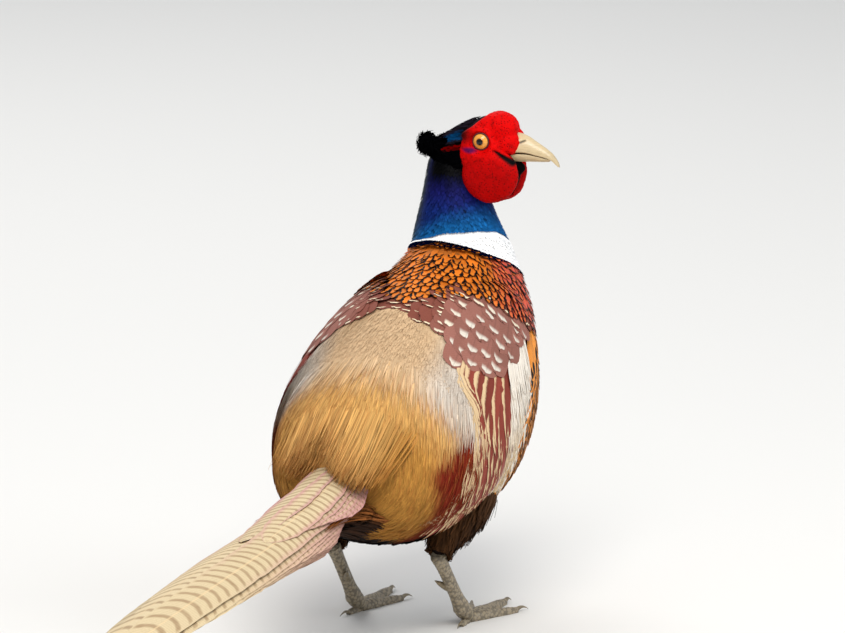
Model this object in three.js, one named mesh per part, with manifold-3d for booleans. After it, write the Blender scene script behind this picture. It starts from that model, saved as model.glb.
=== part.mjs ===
// A cock common pheasant standing still, life size, with its head turned to its right.
// Millimetres. +X is the way the body faces, +Y its left side and +Z up.
// The origin is on the floor, under the middle of the whole bird from bill to tail tip.

import * as THREE from "three";
import { mergeVertices } from "three/addons/utils/BufferGeometryUtils.js";
import Module from "manifold-3d";

const wasm = await Module();
wasm.setup();

const DEGREE = Math.PI / 180;
const GAP = 0.3;
const LEFT = 1;
const RIGHT = -1;
const SIDES = [
  [RIGHT, "right"],
  [LEFT, "left"],
];

// The body from under the tail (0) to inside the skull (16): back, belly and half width.
// Here and below the body is drawn with its feet either side of x = 0.
const BODY = [
  { back: [-137, 110], belly: [-135, 99], half: 9 },
  { back: [-134, 122], belly: [-123, 80], half: 34 },
  { back: [-124, 139], belly: [-104, 67], half: 50 },
  { back: [-105, 160], belly: [-76, 59], half: 61 },
  { back: [-78, 181], belly: [-42, 56], half: 68 },
  { back: [-46, 200], belly: [-5, 57], half: 71 },
  { back: [-14, 214], belly: [38, 66], half: 66.5 },
  { back: [10, 223], belly: [75, 88], half: 57.5 },
  { back: [20, 228], belly: [96, 119], half: 49 },
  { back: [24, 230], belly: [105, 152], half: 43 },
  { back: [25, 231], belly: [103, 180], half: 38.5 },
  { back: [25, 233], belly: [95, 201], half: 35 },
  { back: [25.5, 240], belly: [87, 220], half: 31.5 },
  { back: [25, 251], belly: [76, 241], half: 25.5 },
  { back: [26, 263], belly: [68, 259], half: 21 },
  { back: [28, 276], belly: [65, 274], half: 18 },
  { back: [31, 288], belly: [63, 287], half: 15 },
];
const NECK_TOP = BODY.length - 1;
const BODY_SIDES = 24;
const BODY_STEPS = { torso: 18, collar: 2, neck: 7 };

// The head's own frame starts midway between the eyes: forward, left and up.
const HEAD_AT = [47, -22.9, 297];
const HEAD_TURN = -86;
// Forward, crown height, jaw height and half width.
const HEAD = [
  [-37, -6, -14, 6],
  [-33, -2, -18, 12],
  [-26, 2.6, -24, 15.5],
  [-17, 6.8, -27, 16.5],
  [-8, 9.5, -26, 16],
  [2, 11.5, -22, 14.5],
  [11, 11, -18, 12],
  [17, 8, -15.5, 9],
  [21, 3.5, -13, 5.5],
];
const HEAD_SIDES = 16;
const HEAD_STEPS = 11;
const THROAT = { at: [3, 0, -24], size: [17, 10, 15] };
const EYE = { out: 10.2, radius: 6.4 };
const LID = { ring: 5.2, thick: 1.1, out: 4.1 };

// Forward, ridge height, cutting edge height and half width of the upper bill.
const UPPER_BILL = [
  [13, 4, -9.2, 8],
  [18, 4.4, -8.6, 7.8],
  [22, 4.2, -8.1, 7],
  [27, 2.4, -8.3, 5.7],
  [32.5, -0.9, -9.4, 4.6],
  [38, -4.3, -10.3, 3.5],
  [42.5, -7.4, -11.3, 2.6],
  [45.3, -10.2, -12.9, 1.9],
  [47, -13.2, -15.2, 1.1],
  [47.8, -16, -16.8, 0.5],
];
// Forward, upper edge height, lower edge height and half width of the lower bill.
const LOWER_BILL = [
  [13, -9.7, -13.6, 7],
  [18, -9.1, -14, 6.6],
  [23, -8.7, -13.9, 5.6],
  [29, -9.3, -13.6, 4.3],
  [36, -10.6, -13.3, 3],
  [41, -11.6, -12.9, 1.5],
];
const NOSTRIL = { at: [24.2, 6.2, -2], size: [2.8, 2.6, 0.9], tilt: 24 };

// The bare red face of one side, swollen as in spring: place, then radii.
const WATTLE = [
  { at: [8.2, 4.8, 7.6], size: [12.7, 7.5, 9.7] },
  { at: [-4, 9, 5.5], size: [12.5, 6.5, 7] },
  { at: [13.5, 5.5, -1.5], size: [8.5, 6.5, 8.5] },
  { at: [-1, 11.5, -9], size: [14, 6, 12.5] },
];
// The hanging lobe under them: the left one is a little smaller.
const LOBE = {
  [RIGHT]: { at: [5.7, 12.5, -21.5], size: [18.2, 5.4, 17.3] },
  [LEFT]: { at: [4.9, 12.5, -21.2], size: [17.4, 5.4, 16.6] },
};
const EAR_TUFT = { locks: 5, length: 20, width: 8.5, thick: 2.6 };
// Root of each tuft, and its lowest and highest lock in degrees: the right one stands up more.
const TUFT_AT = {
  [RIGHT]: { root: [-23.5, 12.5, -4], fan: [-36, 32] },
  [LEFT]: { root: [-24, 12.5, -7], fan: [-48, 8] },
};
// Half the block that keeps the two sides of the face apart.
const FACE_BLOCK = 60;

// Where a folded wing lies: place along the body, then its upper and lower turn in degrees.
const WING = [
  [2.6, 88, 120],
  [3.4, 72, 120],
  [3.8, 56, 119],
  [4.2, 38, 117],
  [4.7, 20, 110],
  [5.3, 9, 98],
  [6, 17, 91],
  [7, 35, 86],
  [7.6, 46, 82],
  [8.3, 58, 74],
];
const WING_CORE = { deep: 1, high: 3.4, rim: 1.4, from: 3.3, to: 8.2, steps: 8, across: 4 };
// Rows of wing vanes: place of root and tip, first and last share of the way down, width,
// spacing as a share of the width, and how high the tips stand off the body.
const WING_ROWS = [
  { root: 8.1, tip: 7, first: 0.1, last: 0.9, width: 16, apart: 0.8, high: 5 },
  { root: 7.5, tip: 6.1, first: 0, last: 1, width: 20, apart: 0.78, high: 6 },
  { root: 6.8, tip: 5.4, first: 0, last: 1, width: 22, apart: 0.78, high: 7 },
  { root: 6.1, tip: 4.65, first: 0, last: 1, width: 23, apart: 0.78, high: 8 },
  { root: 5.4, tip: 3.95, first: 0, last: 0.96, width: 24, apart: 0.8, high: 8 },
  { root: 4.7, tip: 3.2, first: 0, last: 0.95, width: 23, apart: 0.9, high: 7 },
  { root: 4, tip: 2.6, first: 0.1, last: 0.95, width: 21, apart: 1, high: 5.5 },
];
const WING_VANE = { rootLift: 1.4, thick: 0.7, roll: 6.5, droop: 0.08 };

// Long plumes of the rump that hang over the root of the tail.
const PLUME_ROWS = [
  { root: 2.9, tip: 1.3, spread: 58, count: 7, width: 23 },
  { root: 2.1, tip: 0.55, spread: 75, count: 9, width: 19 },
];
const PLUME = { rootLift: -1.6, tipLift: 4.5, thick: 1, roll: 9, fall: 1.32 };

// Tail feathers from the middle pair out, and how the tail lies.
const TAIL_LENGTHS = [432, 380, 320, 266, 218, 180, 152, 132, 117];
const TAIL = {
  root: [-140, 105],
  droop: 0.068,
  bend: 0.00008,
  width: 28,
  widthLoss: 0.9,
  step: 2.3,
  splay: 1.1,
  roof: 18,
  thick: 0.9,
  parting: 0.9,
  lap: 2.1,
};
const TAIL_COVERTS = { count: 6, length: 78, width: 17, spacing: 9.5, over: 2.6 };
// The stump that the tail feathers grow from: x and scale of its rings, and its outline.
const TAIL_CORE = {
  rings: [
    [-112, 1],
    [-143, 1],
    [-154, 0.8],
  ],
  outline: [
    [0, 11],
    [-25, 4],
    [-27, -12],
    [0, -20],
    [27, -12],
    [25, 4],
  ],
};

// Legs: places for the left side.
const HOCK = [-60, 36, 52];
const ANKLE = [-27, 37, 12];
const THIGH_TOP = [-30, 40, 92];
const THIGH = { top: [30, 24], middle: [21, 17], bottom: [6.4, 6] };
const SHANK = { wide: 3.6, deep: 4.6, scutes: 7, ridge: 0.45 };
const SPUR = { at: 0.36, length: 15, thick: 3.4 };
// Toes: turn outwards in degrees, length to the claw, root radius.
const TOES = [
  { turn: -20, length: 38, radius: 3.4 },
  { turn: 3, length: 52, radius: 3.8 },
  { turn: 27, length: 40, radius: 3.4 },
];
const HALLUX = { turn: 172, length: 14, radius: 2.6 };
const CLAW = 11;
const PAD_AT = [-17, 37];

// A seeded draw between -1 and 1, so that like feathers differ a little.
let seed = 20011;
function jitter() {
  seed = (seed * 1103515245 + 12345) % 2147483648;
  return (seed / 2147483648) * 2 - 1;
}

const mix = (a, b, u) => a + (b - a) * u;
const vector = (p) => new THREE.Vector3(...p);
const mirrored = (p, side) => [p[0], p[1] * side, p[2]];

// Catmull-Rom interpolation of a row of numbers at a place counted in stations.
function along(row, place) {
  const last = row.length - 1;
  const k = Math.min(Math.max(Math.floor(place), 0), last - 1);
  const u = Math.min(Math.max(place - k, 0), 1);
  const [a, b, c, d] = [k - 1, k, k + 1, k + 2].map(
    (i) => row[Math.min(Math.max(i, 0), last)],
  );
  const curve = 2 * a - 5 * b + 4 * c - d + u * (3 * (b - c) + d - a);
  return b + 0.5 * u * (c - a + u * curve);
}

// Straight-line interpolation in a table whose first column rises.
function lookUp(table, column, x) {
  const after = table.findIndex((row) => row[0] > x);
  const k = after < 0 ? table.length - 1 : Math.max(after, 1);
  const [low, high] = [table[k - 1], table[k]];
  return mix(low[column], high[column], (x - low[0]) / (high[0] - low[0]));
}

const column = (table, c) => table.map((row) => row[c]);
const BACK_X = BODY.map((s) => s.back[0]);
const BACK_Z = BODY.map((s) => s.back[1]);
const BELLY_X = BODY.map((s) => s.belly[0]);
const BELLY_Z = BODY.map((s) => s.belly[1]);
const HALF = BODY.map((s) => s.half);

// A point of the body's skin: place along it, and turn from the back line over the left.
function bodySkin(place, turn) {
  const up = 0.5 * (1 + Math.cos(turn));
  return new THREE.Vector3(
    mix(along(BELLY_X, place), along(BACK_X, place), up),
    along(HALF, place) * Math.sin(turn),
    mix(along(BELLY_Z, place), along(BACK_Z, place), up),
  );
}

function bodyNormal(place, turn) {
  const step = 0.05;
  const ahead = bodySkin(Math.min(place + step, NECK_TOP), turn);
  const behind = bodySkin(Math.max(place - step, 0), turn);
  const round = bodySkin(place, turn + step).sub(bodySkin(place, turn - step));
  return ahead.sub(behind).cross(round).normalize();
}

function bodyPoint(place, turn, lift = 0) {
  return bodySkin(place, turn).addScaledVector(bodyNormal(place, turn), lift);
}

// The white collar's edges run at a slant: narrow at the nape and left, broad at the right.
const collarLow = (turn) => 11.05 - 0.15 * Math.cos(turn) + 0.1 * Math.sin(turn);
const collarHigh = (turn) => 11.78 - 0.36 * Math.sin(turn) - 0.12 * Math.cos(turn);

// A closed solid from points and triangles, turned so that its faces point out.
function solidFrom(points, triangles) {
  const made = new wasm.Manifold(
    new wasm.Mesh({
      numProp: 3,
      vertProperties: new Float32Array(points.flatMap((p) => [p.x, p.y, p.z])),
      triVerts: new Uint32Array(triangles.flat()),
    }),
  );
  if (made.volume() > 0) return made;
  return solidFrom(
    points,
    triangles.map(([a, b, c]) => [a, c, b]),
  );
}

function solidOf(geometry) {
  geometry.deleteAttribute("normal");
  geometry.deleteAttribute("uv");
  const merged = mergeVertices(geometry, 1e-4);
  const at = merged.getAttribute("position");
  const points = Array.from({ length: at.count }, (_, i) =>
    new THREE.Vector3().fromBufferAttribute(at, i),
  );
  const triangles = [];
  for (let i = 0; i < merged.index.count; i += 3) {
    const [a, b, c] = merged.index.array.slice(i, i + 3);
    if (a !== b && b !== c && a !== c) triangles.push([a, b, c]);
  }
  return solidFrom(points, triangles);
}

function geometryOf(solid) {
  const mesh = solid.getMesh();
  const geometry = new THREE.BufferGeometry();
  geometry.setAttribute(
    "position",
    new THREE.BufferAttribute(new Float32Array(mesh.vertProperties), 3),
  );
  geometry.setIndex(new THREE.BufferAttribute(mesh.triVerts, 1));
  return geometry;
}

const moved = (solid, matrix) => solidOf(geometryOf(solid).applyMatrix4(matrix));
const joined = (solids) => solids.reduce((a, b) => a.add(b));

// The largest closed surface of a solid, without loose scraps or sealed hollows.
function largest(solid) {
  return solid.decompose().reduce((a, b) => (b.volume() > a.volume() ? b : a));
}

// Rings of equal count, joined in order and closed with a fan at each end.
function loft(rings) {
  const count = rings[0].length;
  const points = rings.flat();
  const triangles = [];
  for (let k = 0; k + 1 < rings.length; k++)
    for (let i = 0; i < count; i++) {
      const [a, b] = [k * count + i, k * count + ((i + 1) % count)];
      triangles.push([a, b, b + count], [a, b + count, a + count]);
    }
  for (const ring of [rings[0], rings.at(-1)]) {
    const middle = ring.reduce((sum, p) => sum.add(p), new THREE.Vector3());
    points.push(middle.divideScalar(count));
  }
  const end = (rings.length - 1) * count;
  for (let i = 0; i < count; i++) {
    const j = (i + 1) % count;
    triangles.push([points.length - 2, j, i]);
    triangles.push([points.length - 1, end + i, end + j]);
  }
  return solidFrom(points, triangles);
}

const ringOf = (count, point) =>
  Array.from({ length: count }, (_, i) => point((2 * Math.PI * i) / count));

// Rings of the body between two edges, each a place for every turn round it.
function bodyRings(from, to, steps, lift) {
  return Array.from({ length: steps + 1 }, (_, k) =>
    ringOf(BODY_SIDES, (turn) =>
      bodyPoint(mix(from(turn), to(turn), k / steps), turn, lift),
    ),
  );
}

// A stretch of the body that starts one gap above the stretch below it.
function bodyStretch(from, to, steps, lift = 0) {
  const rings = bodyRings(from, to, steps, lift);
  const lean = rings[1][0].clone().sub(rings[0][0]).normalize();
  rings[0] = rings[0].map((p) => p.clone().addScaledVector(lean, GAP));
  return loft(rings);
}

function ellipsoid(centre, radii, wide = 12, high = 8) {
  const shape = new THREE.SphereGeometry(1, wide, high);
  return solidOf(shape.scale(...radii).translate(...centre));
}

// A tube whose rings have their own widths, along points, with an up direction.
function tube(path, sizes, sides, up) {
  return loft(
    path.map((at, k) => {
      const ahead = path[Math.min(k + 1, path.length - 1)].clone();
      const along = ahead.sub(path[Math.max(k - 1, 0)]).normalize();
      const across = up.clone().cross(along).normalize();
      const high = along.clone().cross(across);
      return ringOf(sides, (a) =>
        at
          .clone()
          .addScaledVector(across, sizes[k][0] * Math.cos(a))
          .addScaledVector(high, sizes[k][1] * Math.sin(a)),
      );
    }),
  );
}

// Shares of a feather's length, and its width there as a share of the full width.
const VANE_OUTLINE = [
  [0, 0.5],
  [0.45, 0.97],
  [0.8, 0.88],
  [1, 0.14],
];

// A feather as a thin closed blade along a path, cut alike above and below.
function vane({ place, normal, width, thick, roll = 0, outline = VANE_OUTLINE }) {
  const step = 0.02;
  const points = outline.flatMap(([share, wide]) => {
    const at = place(share);
    const ahead = place(Math.min(share + step, 1)).sub(
      place(Math.max(share - step, 0)),
    );
    const across = ahead.clone().cross(normal(share)).normalize();
    across.applyAxisAngle(ahead.normalize(), roll);
    const high = across.clone().cross(ahead).normalize();
    const half = (width * wide) / 2;
    const deep = (thick * (share < 1 ? 1 : 0.6)) / 2;
    return [
      [-half, deep],
      [half, deep],
      [half, -deep],
      [-half, -deep],
    ].map(([a, b]) =>
      at.clone().addScaledVector(across, a).addScaledVector(high, b),
    );
  });
  const triangles = [
    [0, 1, 2],
    [0, 2, 3],
  ];
  const [top, right, bottom, left] = [0, 1, 2, 3];
  for (let k = 0; k + 1 < outline.length; k++) {
    const [a, b] = [4 * k, 4 * k + 4];
    triangles.push([a + top, b + top, b + right], [a + top, b + right, a + right]);
    triangles.push([a + left, b + bottom, b + left], [a + left, a + bottom, b + bottom]);
    triangles.push([a + right, b + right, b + bottom], [a + right, b + bottom, a + bottom]);
    triangles.push([a + left, b + left, b + top], [a + left, b + top, a + top]);
  }
  const end = 4 * (outline.length - 1);
  triangles.push([end, end + 2, end + 1], [end, end + 3, end + 2]);
  return solidFrom(points, triangles);
}

// A feather that lies on the body from one place and turn to another.
function bodyVane(root, tip, rootLift, tipLift, more) {
  const place = (s) =>
    bodyPoint(mix(root[0], tip[0], s), mix(root[1], tip[1], s), mix(rootLift, tipLift, s));
  const normal = (s) => bodyNormal(mix(root[0], tip[0], s), mix(root[1], tip[1], s));
  return vane({ place, normal, ...more });
}

// The rump's long plumes. Swollen by a margin, they cut what lies under them clear.
function plumes(margin = 0) {
  const start = seed;
  const locks = PLUME_ROWS.flatMap((row) =>
    Array.from({ length: row.count }, (_, i) => {
      const turn = mix(-row.spread, row.spread, i / (row.count - 1)) * DEGREE;
      const tip = [row.tip + 0.12 * jitter(), turn * PLUME.fall];
      return bodyVane([row.root, turn], tip, PLUME.rootLift, PLUME.tipLift, {
        width: row.width + 2 * margin,
        thick: PLUME.thick + 2 * margin,
        roll: Math.sign(turn + 1e-9) * PLUME.roll * DEGREE,
      });
    }),
  );
  seed = start;
  return joined(locks);
}

function wingCore(side) {
  const { deep, high, rim, from, to, steps, across } = WING_CORE;
  const edge = (place, share) =>
    side *
    DEGREE *
    mix(lookUp(WING, 1, place), lookUp(WING, 2, place), mix(0.03, 0.94, share));
  const rings = Array.from({ length: steps + 1 }, (_, k) => {
    const place = mix(from, to, k / steps);
    const outer = Array.from({ length: across + 1 }, (_, i) => {
      const share = i / across;
      const lift = mix(rim, high, Math.sin(Math.PI * share) ** 0.5);
      return bodyPoint(place, edge(place, share), lift);
    });
    const inner = Array.from({ length: across + 1 }, (_, i) =>
      bodyPoint(place, edge(place, 1 - i / across), -deep),
    );
    return [...outer, ...inner];
  });
  return loft(rings);
}

function wingVanes(side) {
  return WING_ROWS.flatMap(({ root, tip, first, last, width, apart, high }) => {
    const turnAt = (place, share) =>
      mix(lookUp(WING, 1, place), lookUp(WING, 2, place), share);
    const reach = turnAt(root, last) - turnAt(root, first);
    const arc = reach * DEGREE * along(HALF, root);
    const count = Math.max(2, Math.round(arc / (apart * width)));
    return Array.from({ length: count }, (_, i) => {
      const share = mix(first, last, (i + 0.5) / count);
      const rootTurn = side * DEGREE * turnAt(root, share);
      const tipShare = share + WING_VANE.droop * share;
      const tipTurn = side * DEGREE * turnAt(tip, tipShare);
      return bodyVane(
        [root, rootTurn],
        [tip + 0.08 * jitter(), tipTurn],
        WING_VANE.rootLift,
        high + 0.3 * jitter(),
        { width, thick: WING_VANE.thick, roll: -side * WING_VANE.roll * DEGREE },
      );
    });
  });
}

// A point along the tail: run back from its root, out to the side, and lift.
function tailPoint(run, out, lift) {
  const fall = TAIL.droop * run + TAIL.bend * run * run;
  return new THREE.Vector3(TAIL.root[0] - run, out, TAIL.root[1] - fall + lift);
}

function tailCore() {
  const rings = TAIL_CORE.rings.map(([x, scale]) =>
    TAIL_CORE.outline.map(([y, z]) => vector([x, y * scale, TAIL.root[1] - 1 + z * scale])),
  );
  return loft(rings);
}

const TAIL_OUTLINE = [
  [0, 0.4],
  [0.1, 0.85],
  [0.35, 1],
  [0.65, 0.84],
  [0.88, 0.5],
  [1, 0.08],
];

function tailFeathers() {
  return TAIL_LENGTHS.flatMap((length, i) =>
    SIDES.map(([side]) => {
      const width = TAIL.width - TAIL.widthLoss * i;
      const splay = Math.tan(TAIL.splay * i * DEGREE);
      const wide = (s) => lookUp(TAIL_OUTLINE, 1, Math.max(s, 0.1)) * width;
      const parting = i === 0 ? -1 : TAIL.parting * i;
      const out = (s) => wide(s) / 2 + parting + splay * s * length;
      const drop = i === 0 && side === RIGHT ? TAIL.lap : -TAIL.step * i;
      return vane({
        place: (s) => tailPoint(s * length, side * out(s), drop),
        normal: () => new THREE.Vector3(0, 0, 1),
        width,
        thick: TAIL.thick,
        roll: -side * TAIL.roof * DEGREE,
        outline: TAIL_OUTLINE,
      });
    }),
  );
}

function tailCoverts() {
  const { count, length, width, spacing, over } = TAIL_COVERTS;
  return Array.from({ length: count }, (_, i) => {
    const out = (i - (count - 1) / 2) * spacing;
    const lift = over + 1.5 * (i % 2) - 0.22 * Math.abs(out);
    return vane({
      place: (s) => tailPoint(s * (length - 0.6 * Math.abs(out)), out * (1 + 0.2 * s), lift),
      normal: () => new THREE.Vector3(0, 0, 1),
      width,
      thick: TAIL.thick,
      roll: -Math.sign(out) * 16 * DEGREE,
    });
  });
}

// The head as rings across its length, lifted by a distance.
function headSolid(lift) {
  const columns = [0, 1, 2, 3].map((c) => column(HEAD, c));
  const pace = (HEAD.length - 1) / HEAD_STEPS;
  const rings = Array.from({ length: HEAD_STEPS + 1 }, (_, k) => {
    const [f, crown, jaw, half] = columns.map((c) => along(c, k * pace));
    const end = k === 0 ? -lift : k === HEAD_STEPS ? lift : 0;
    return ringOf(HEAD_SIDES, (a) => {
      const side = Math.sign(Math.sin(a)) * Math.abs(Math.sin(a)) ** 0.85;
      const high = (crown - jaw) / 2 + lift;
      return new THREE.Vector3(
        f + end,
        (half + lift) * side,
        (crown + jaw) / 2 + high * Math.cos(a),
      );
    });
  });
  const throat = ellipsoid(
    THROAT.at,
    THROAT.size.map((r) => r + lift),
  );
  return loft(rings).add(throat);
}

// A half of the bill: rings across it with a flatter underside or top.
function billSolid(stations, ridged) {
  const columns = [0, 1, 2, 3].map((c) => column(stations, c));
  return loft(
    stations.map((_, k) => {
      const [f, top, bottom, half] = columns.map((c) => c[k]);
      const middle = ridged ? mix(bottom, top, 0.16) : top;
      return ringOf(12, (a) => {
        const reach = Math.cos(a) > 0 ? top - middle : middle - bottom;
        return new THREE.Vector3(f, half * Math.sin(a), middle + reach * Math.cos(a));
      });
    }),
  );
}

function nostril(side) {
  const slit = new THREE.SphereGeometry(1, 8, 6);
  slit.scale(...NOSTRIL.size).rotateY(NOSTRIL.tilt * DEGREE);
  return solidOf(slit.translate(...mirrored(NOSTRIL.at, side)));
}

const eyeBall = (side, lift) =>
  ellipsoid([0, side * EYE.out, 0], Array(3).fill(EYE.radius + lift), 16, 10);

function lidRing(side) {
  const ring = new THREE.TorusGeometry(LID.ring, LID.thick, 5, 12);
  return solidOf(ring.rotateX(Math.PI / 2).translate(0, side * (EYE.out + LID.out), 0));
}

function wattleBulbs(side) {
  return [...WATTLE, LOBE[side]].map(({ at, size }) => ellipsoid(mirrored(at, side), size));
}

// All that lies across the middle of the head, seen from one side of the face.
function acrossFace(side) {
  const block = new THREE.BoxGeometry(2 * FACE_BLOCK, 2 * FACE_BLOCK, 2 * FACE_BLOCK);
  return solidOf(block.translate(0, side * (GAP / 2 - FACE_BLOCK), 0));
}

const TUFT_OUTLINE = [
  [0, 0.6],
  [0.55, 1],
  [1, 0.35],
];

function earTuft(side) {
  const { locks, length, width, thick } = EAR_TUFT;
  const { root, fan } = TUFT_AT[side];
  const [low, high] = fan;
  const middle = (locks - 1) / 2;
  return joined(
    Array.from({ length: locks }, (_, i) => {
      const rise = mix(low, high, i / (locks - 1)) * DEGREE;
      const out = (3 + 3 * (i % 2)) * side;
      const reach = length * (1 - 0.08 * Math.abs(i - middle) + 0.04 * jitter());
      const from = vector(mirrored(root, side));
      const to = new THREE.Vector3(-reach * Math.cos(rise), out, reach * Math.sin(rise));
      return vane({
        place: (s) => from.clone().addScaledVector(to, s),
        normal: () => new THREE.Vector3(0, side, 0),
        width,
        thick,
        roll: 7 * DEGREE * (i - middle),
        outline: TUFT_OUTLINE,
      });
    }),
  );
}

function thigh(side) {
  const [top, hock] = [vector(mirrored(THIGH_TOP, side)), vector(mirrored(HOCK, side))];
  const sizes = [THIGH.top, THIGH.middle, THIGH.bottom];
  const path = Array.from({ length: 7 }, (_, k) => top.clone().lerp(hock, k / 6));
  const girth = path.map((_, k) => [
    along(column(sizes, 1), k / 3),
    along(column(sizes, 0), k / 3),
  ]);
  return tube(path, girth, 14, new THREE.Vector3(1, 0, 1));
}

// The scaled leg and its spur. Swollen by a lift, it cuts the thigh and the foot clear.
function shank(side, lift = 0) {
  const [hock, ankle] = [vector(mirrored(HOCK, side)), vector(mirrored(ANKLE, side))];
  const down = ankle.clone().sub(hock).normalize();
  hock.addScaledVector(down, -lift);
  ankle.addScaledVector(down, lift);
  const steps = SHANK.scutes * 2;
  const path = Array.from({ length: steps + 1 }, (_, k) => hock.clone().lerp(ankle, k / steps));
  const girth = path.map((_, k) => {
    const share = k / steps;
    const swell = 1 + 0.35 * (2 * share - 1) ** 4;
    const ridge = SHANK.ridge * (k % 2);
    return [SHANK.wide * swell + ridge * 0.4 + lift, SHANK.deep * swell + ridge + lift];
  });
  const leg = tube(path, girth, 8, new THREE.Vector3(1, 0, 1));
  const heel = hock.clone().lerp(ankle, 1 - SPUR.at);
  const back = new THREE.Vector3(-0.8, -0.42 * side, 0.25).normalize();
  const spurPath = [0, 0.4, 0.75, 1].map((s) =>
    heel.clone().addScaledVector(back, s * SPUR.length).add(new THREE.Vector3(0, 0, 3 * s * s)),
  );
  const spurSizes = [1, 0.75, 0.45, 0.08].map((s) => [SPUR.thick * s, SPUR.thick * s]);
  return leg.add(tube(spurPath, spurSizes, 8, new THREE.Vector3(0, 1, 0)));
}

// A toe with its claw, flat underneath on the floor.
function toe(side, turn, length, radius) {
  const heading = turn * DEGREE * side;
  const forward = new THREE.Vector3(Math.cos(heading), Math.sin(heading), 0);
  const across = new THREE.Vector3(-forward.y, forward.x, 0);
  const start = new THREE.Vector3(PAD_AT[0], PAD_AT[1] * side, 0);
  const joints = [
    [0, 1, 1.7],
    [0.3, 1.05, 1.7],
    [0.55, 0.8, 1.35],
    [0.8, 0.85, 1.25],
    [1, 0.55, 0.95],
  ].map(([s, wide, high]) => [s * length, radius * wide, radius * high, 0]);
  const claw = [
    [0.5, 0.36, 0.7, 0],
    [1, 0.06, 0.16, 0],
  ].map(([s, wide, high, low]) => [length + s * CLAW, radius * wide, radius * high, low]);
  const rings = [...joints, ...claw].map(([run, wide, high, low]) =>
    [
      [-0.6, 0],
      [-1, 0.35],
      [-0.75, 0.8],
      [0, 1],
      [0.75, 0.8],
      [1, 0.35],
      [0.6, 0],
    ].map(([a, b]) =>
      start
        .clone()
        .addScaledVector(forward, run)
        .addScaledVector(across, a * wide)
        .add(new THREE.Vector3(0, 0, low + b * high)),
    ),
  );
  return loft(rings);
}

function foot(side) {
  const toes = [...TOES, HALLUX].map((t) => toe(side, t.turn, t.length, t.radius));
  const ankle = vector(mirrored(ANKLE, side));
  const pad = new THREE.Vector3(PAD_AT[0], PAD_AT[1] * side, 3.2);
  const down = pad.clone().sub(ankle).normalize();
  const path = [ankle.clone().addScaledVector(down, -2), ankle.clone().lerp(pad, 0.55), pad];
  const girth = [
    [SHANK.wide * 1.35, SHANK.deep * 1.35],
    [5.6, 5.2],
    [4.6, 3],
  ];
  const root = tube(path, girth, 10, new THREE.Vector3(1, 0, 1));
  return joined([root, ...toes]);
}

const bird = new THREE.Group();
const headGroup = new THREE.Group();
headGroup.position.set(...HEAD_AT);
headGroup.rotation.z = HEAD_TURN * DEGREE;
headGroup.updateMatrixWorld(true);
const toBody = headGroup.matrixWorld.clone();
const toHead = toBody.clone().invert();
bird.add(headGroup);

function addNode(name, solid, color, roughness, parent = bird) {
  const geometry = geometryOf(solid);
  geometry.computeVertexNormals();
  const material = new THREE.MeshStandardMaterial({ color, roughness, metalness: 0 });
  const node = new THREE.Mesh(geometry, material);
  node.name = name;
  parent.add(node);
}

const bodyStart = () => 0;
const neckEnd = () => NECK_TOP;
const headLifted = headSolid(GAP);
const headInBody = moved(headLifted, toBody);
const neckPlain = bodyStretch(collarHigh, neckEnd, BODY_STEPS.neck);
const neckLifted = moved(bodyStretch(collarHigh, neckEnd, BODY_STEPS.neck, GAP), toHead);
const torsoPlain = loft(bodyRings(bodyStart, collarLow, BODY_STEPS.torso, 0));
const torsoLifted = loft(bodyRings(bodyStart, collarLow, BODY_STEPS.torso, GAP));
const plumesLifted = plumes(GAP);

addNode("torso", largest(torsoPlain.add(plumes())), 0xb08a58, 0.9);
addNode("collar", bodyStretch(collarLow, collarHigh, BODY_STEPS.collar), 0xf2f0ea, 0.9);
addNode("neck", largest(neckPlain.subtract(headInBody)), 0x16305e, 0.6);

const eyeRoom = joined([eyeBall(RIGHT, GAP), eyeBall(LEFT, GAP)]);
addNode("head", largest(headSolid(0).subtract(eyeRoom)), 0x0f2a24, 0.7, headGroup);
const upperBill = billSolid(UPPER_BILL, true)
  .subtract(headLifted)
  .subtract(nostril(LEFT))
  .subtract(nostril(RIGHT));
const lowerBill = billSolid(LOWER_BILL, false).subtract(headLifted);
addNode("bill_upper", largest(upperBill), 0xdccfae, 0.4, headGroup);
addNode("bill_lower", largest(lowerBill), 0xcdbf9c, 0.4, headGroup);
const billSwell = new THREE.Matrix4().makeScale(1, 1.06, 1);
const billRoom = joined([
  moved(billSolid(UPPER_BILL, true), billSwell.clone().setPosition(0.2, 0, GAP)),
  moved(billSolid(LOWER_BILL, false), billSwell.clone().setPosition(0.2, 0, -GAP)),
]);

for (const [side, word] of SIDES) {
  addNode(`eye_${word}`, eyeBall(side, 0), 0xe0a030, 0.1, headGroup);
  const face = joined([...wattleBulbs(side), lidRing(side)])
    .subtract(headLifted)
    .subtract(eyeBall(side, GAP))
    .subtract(billRoom)
    .subtract(neckLifted)
    .subtract(acrossFace(side));
  addNode(`wattle_${word}`, largest(face), 0xc01018, 0.8, headGroup);
  const tuft = earTuft(side).subtract(headLifted).subtract(neckLifted);
  addNode(`ear_tuft_${word}`, largest(tuft), 0x0a0c10, 0.8, headGroup);
  const wing = joined([wingCore(side), ...wingVanes(side)])
    .subtract(torsoLifted)
    .subtract(plumesLifted);
  addNode(`wing_${word}`, largest(wing), 0x8a5a44, 0.85);
  const shankLifted = shank(side, GAP);
  const leg = thigh(side).subtract(torsoLifted).subtract(shankLifted);
  addNode(`thigh_${word}`, largest(leg), 0x8a6a48, 0.9);
  addNode(`shank_${word}`, shank(side), 0x8c8578, 0.6);
  addNode(`foot_${word}`, largest(foot(side).subtract(shankLifted)), 0x857d70, 0.6);
}

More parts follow.
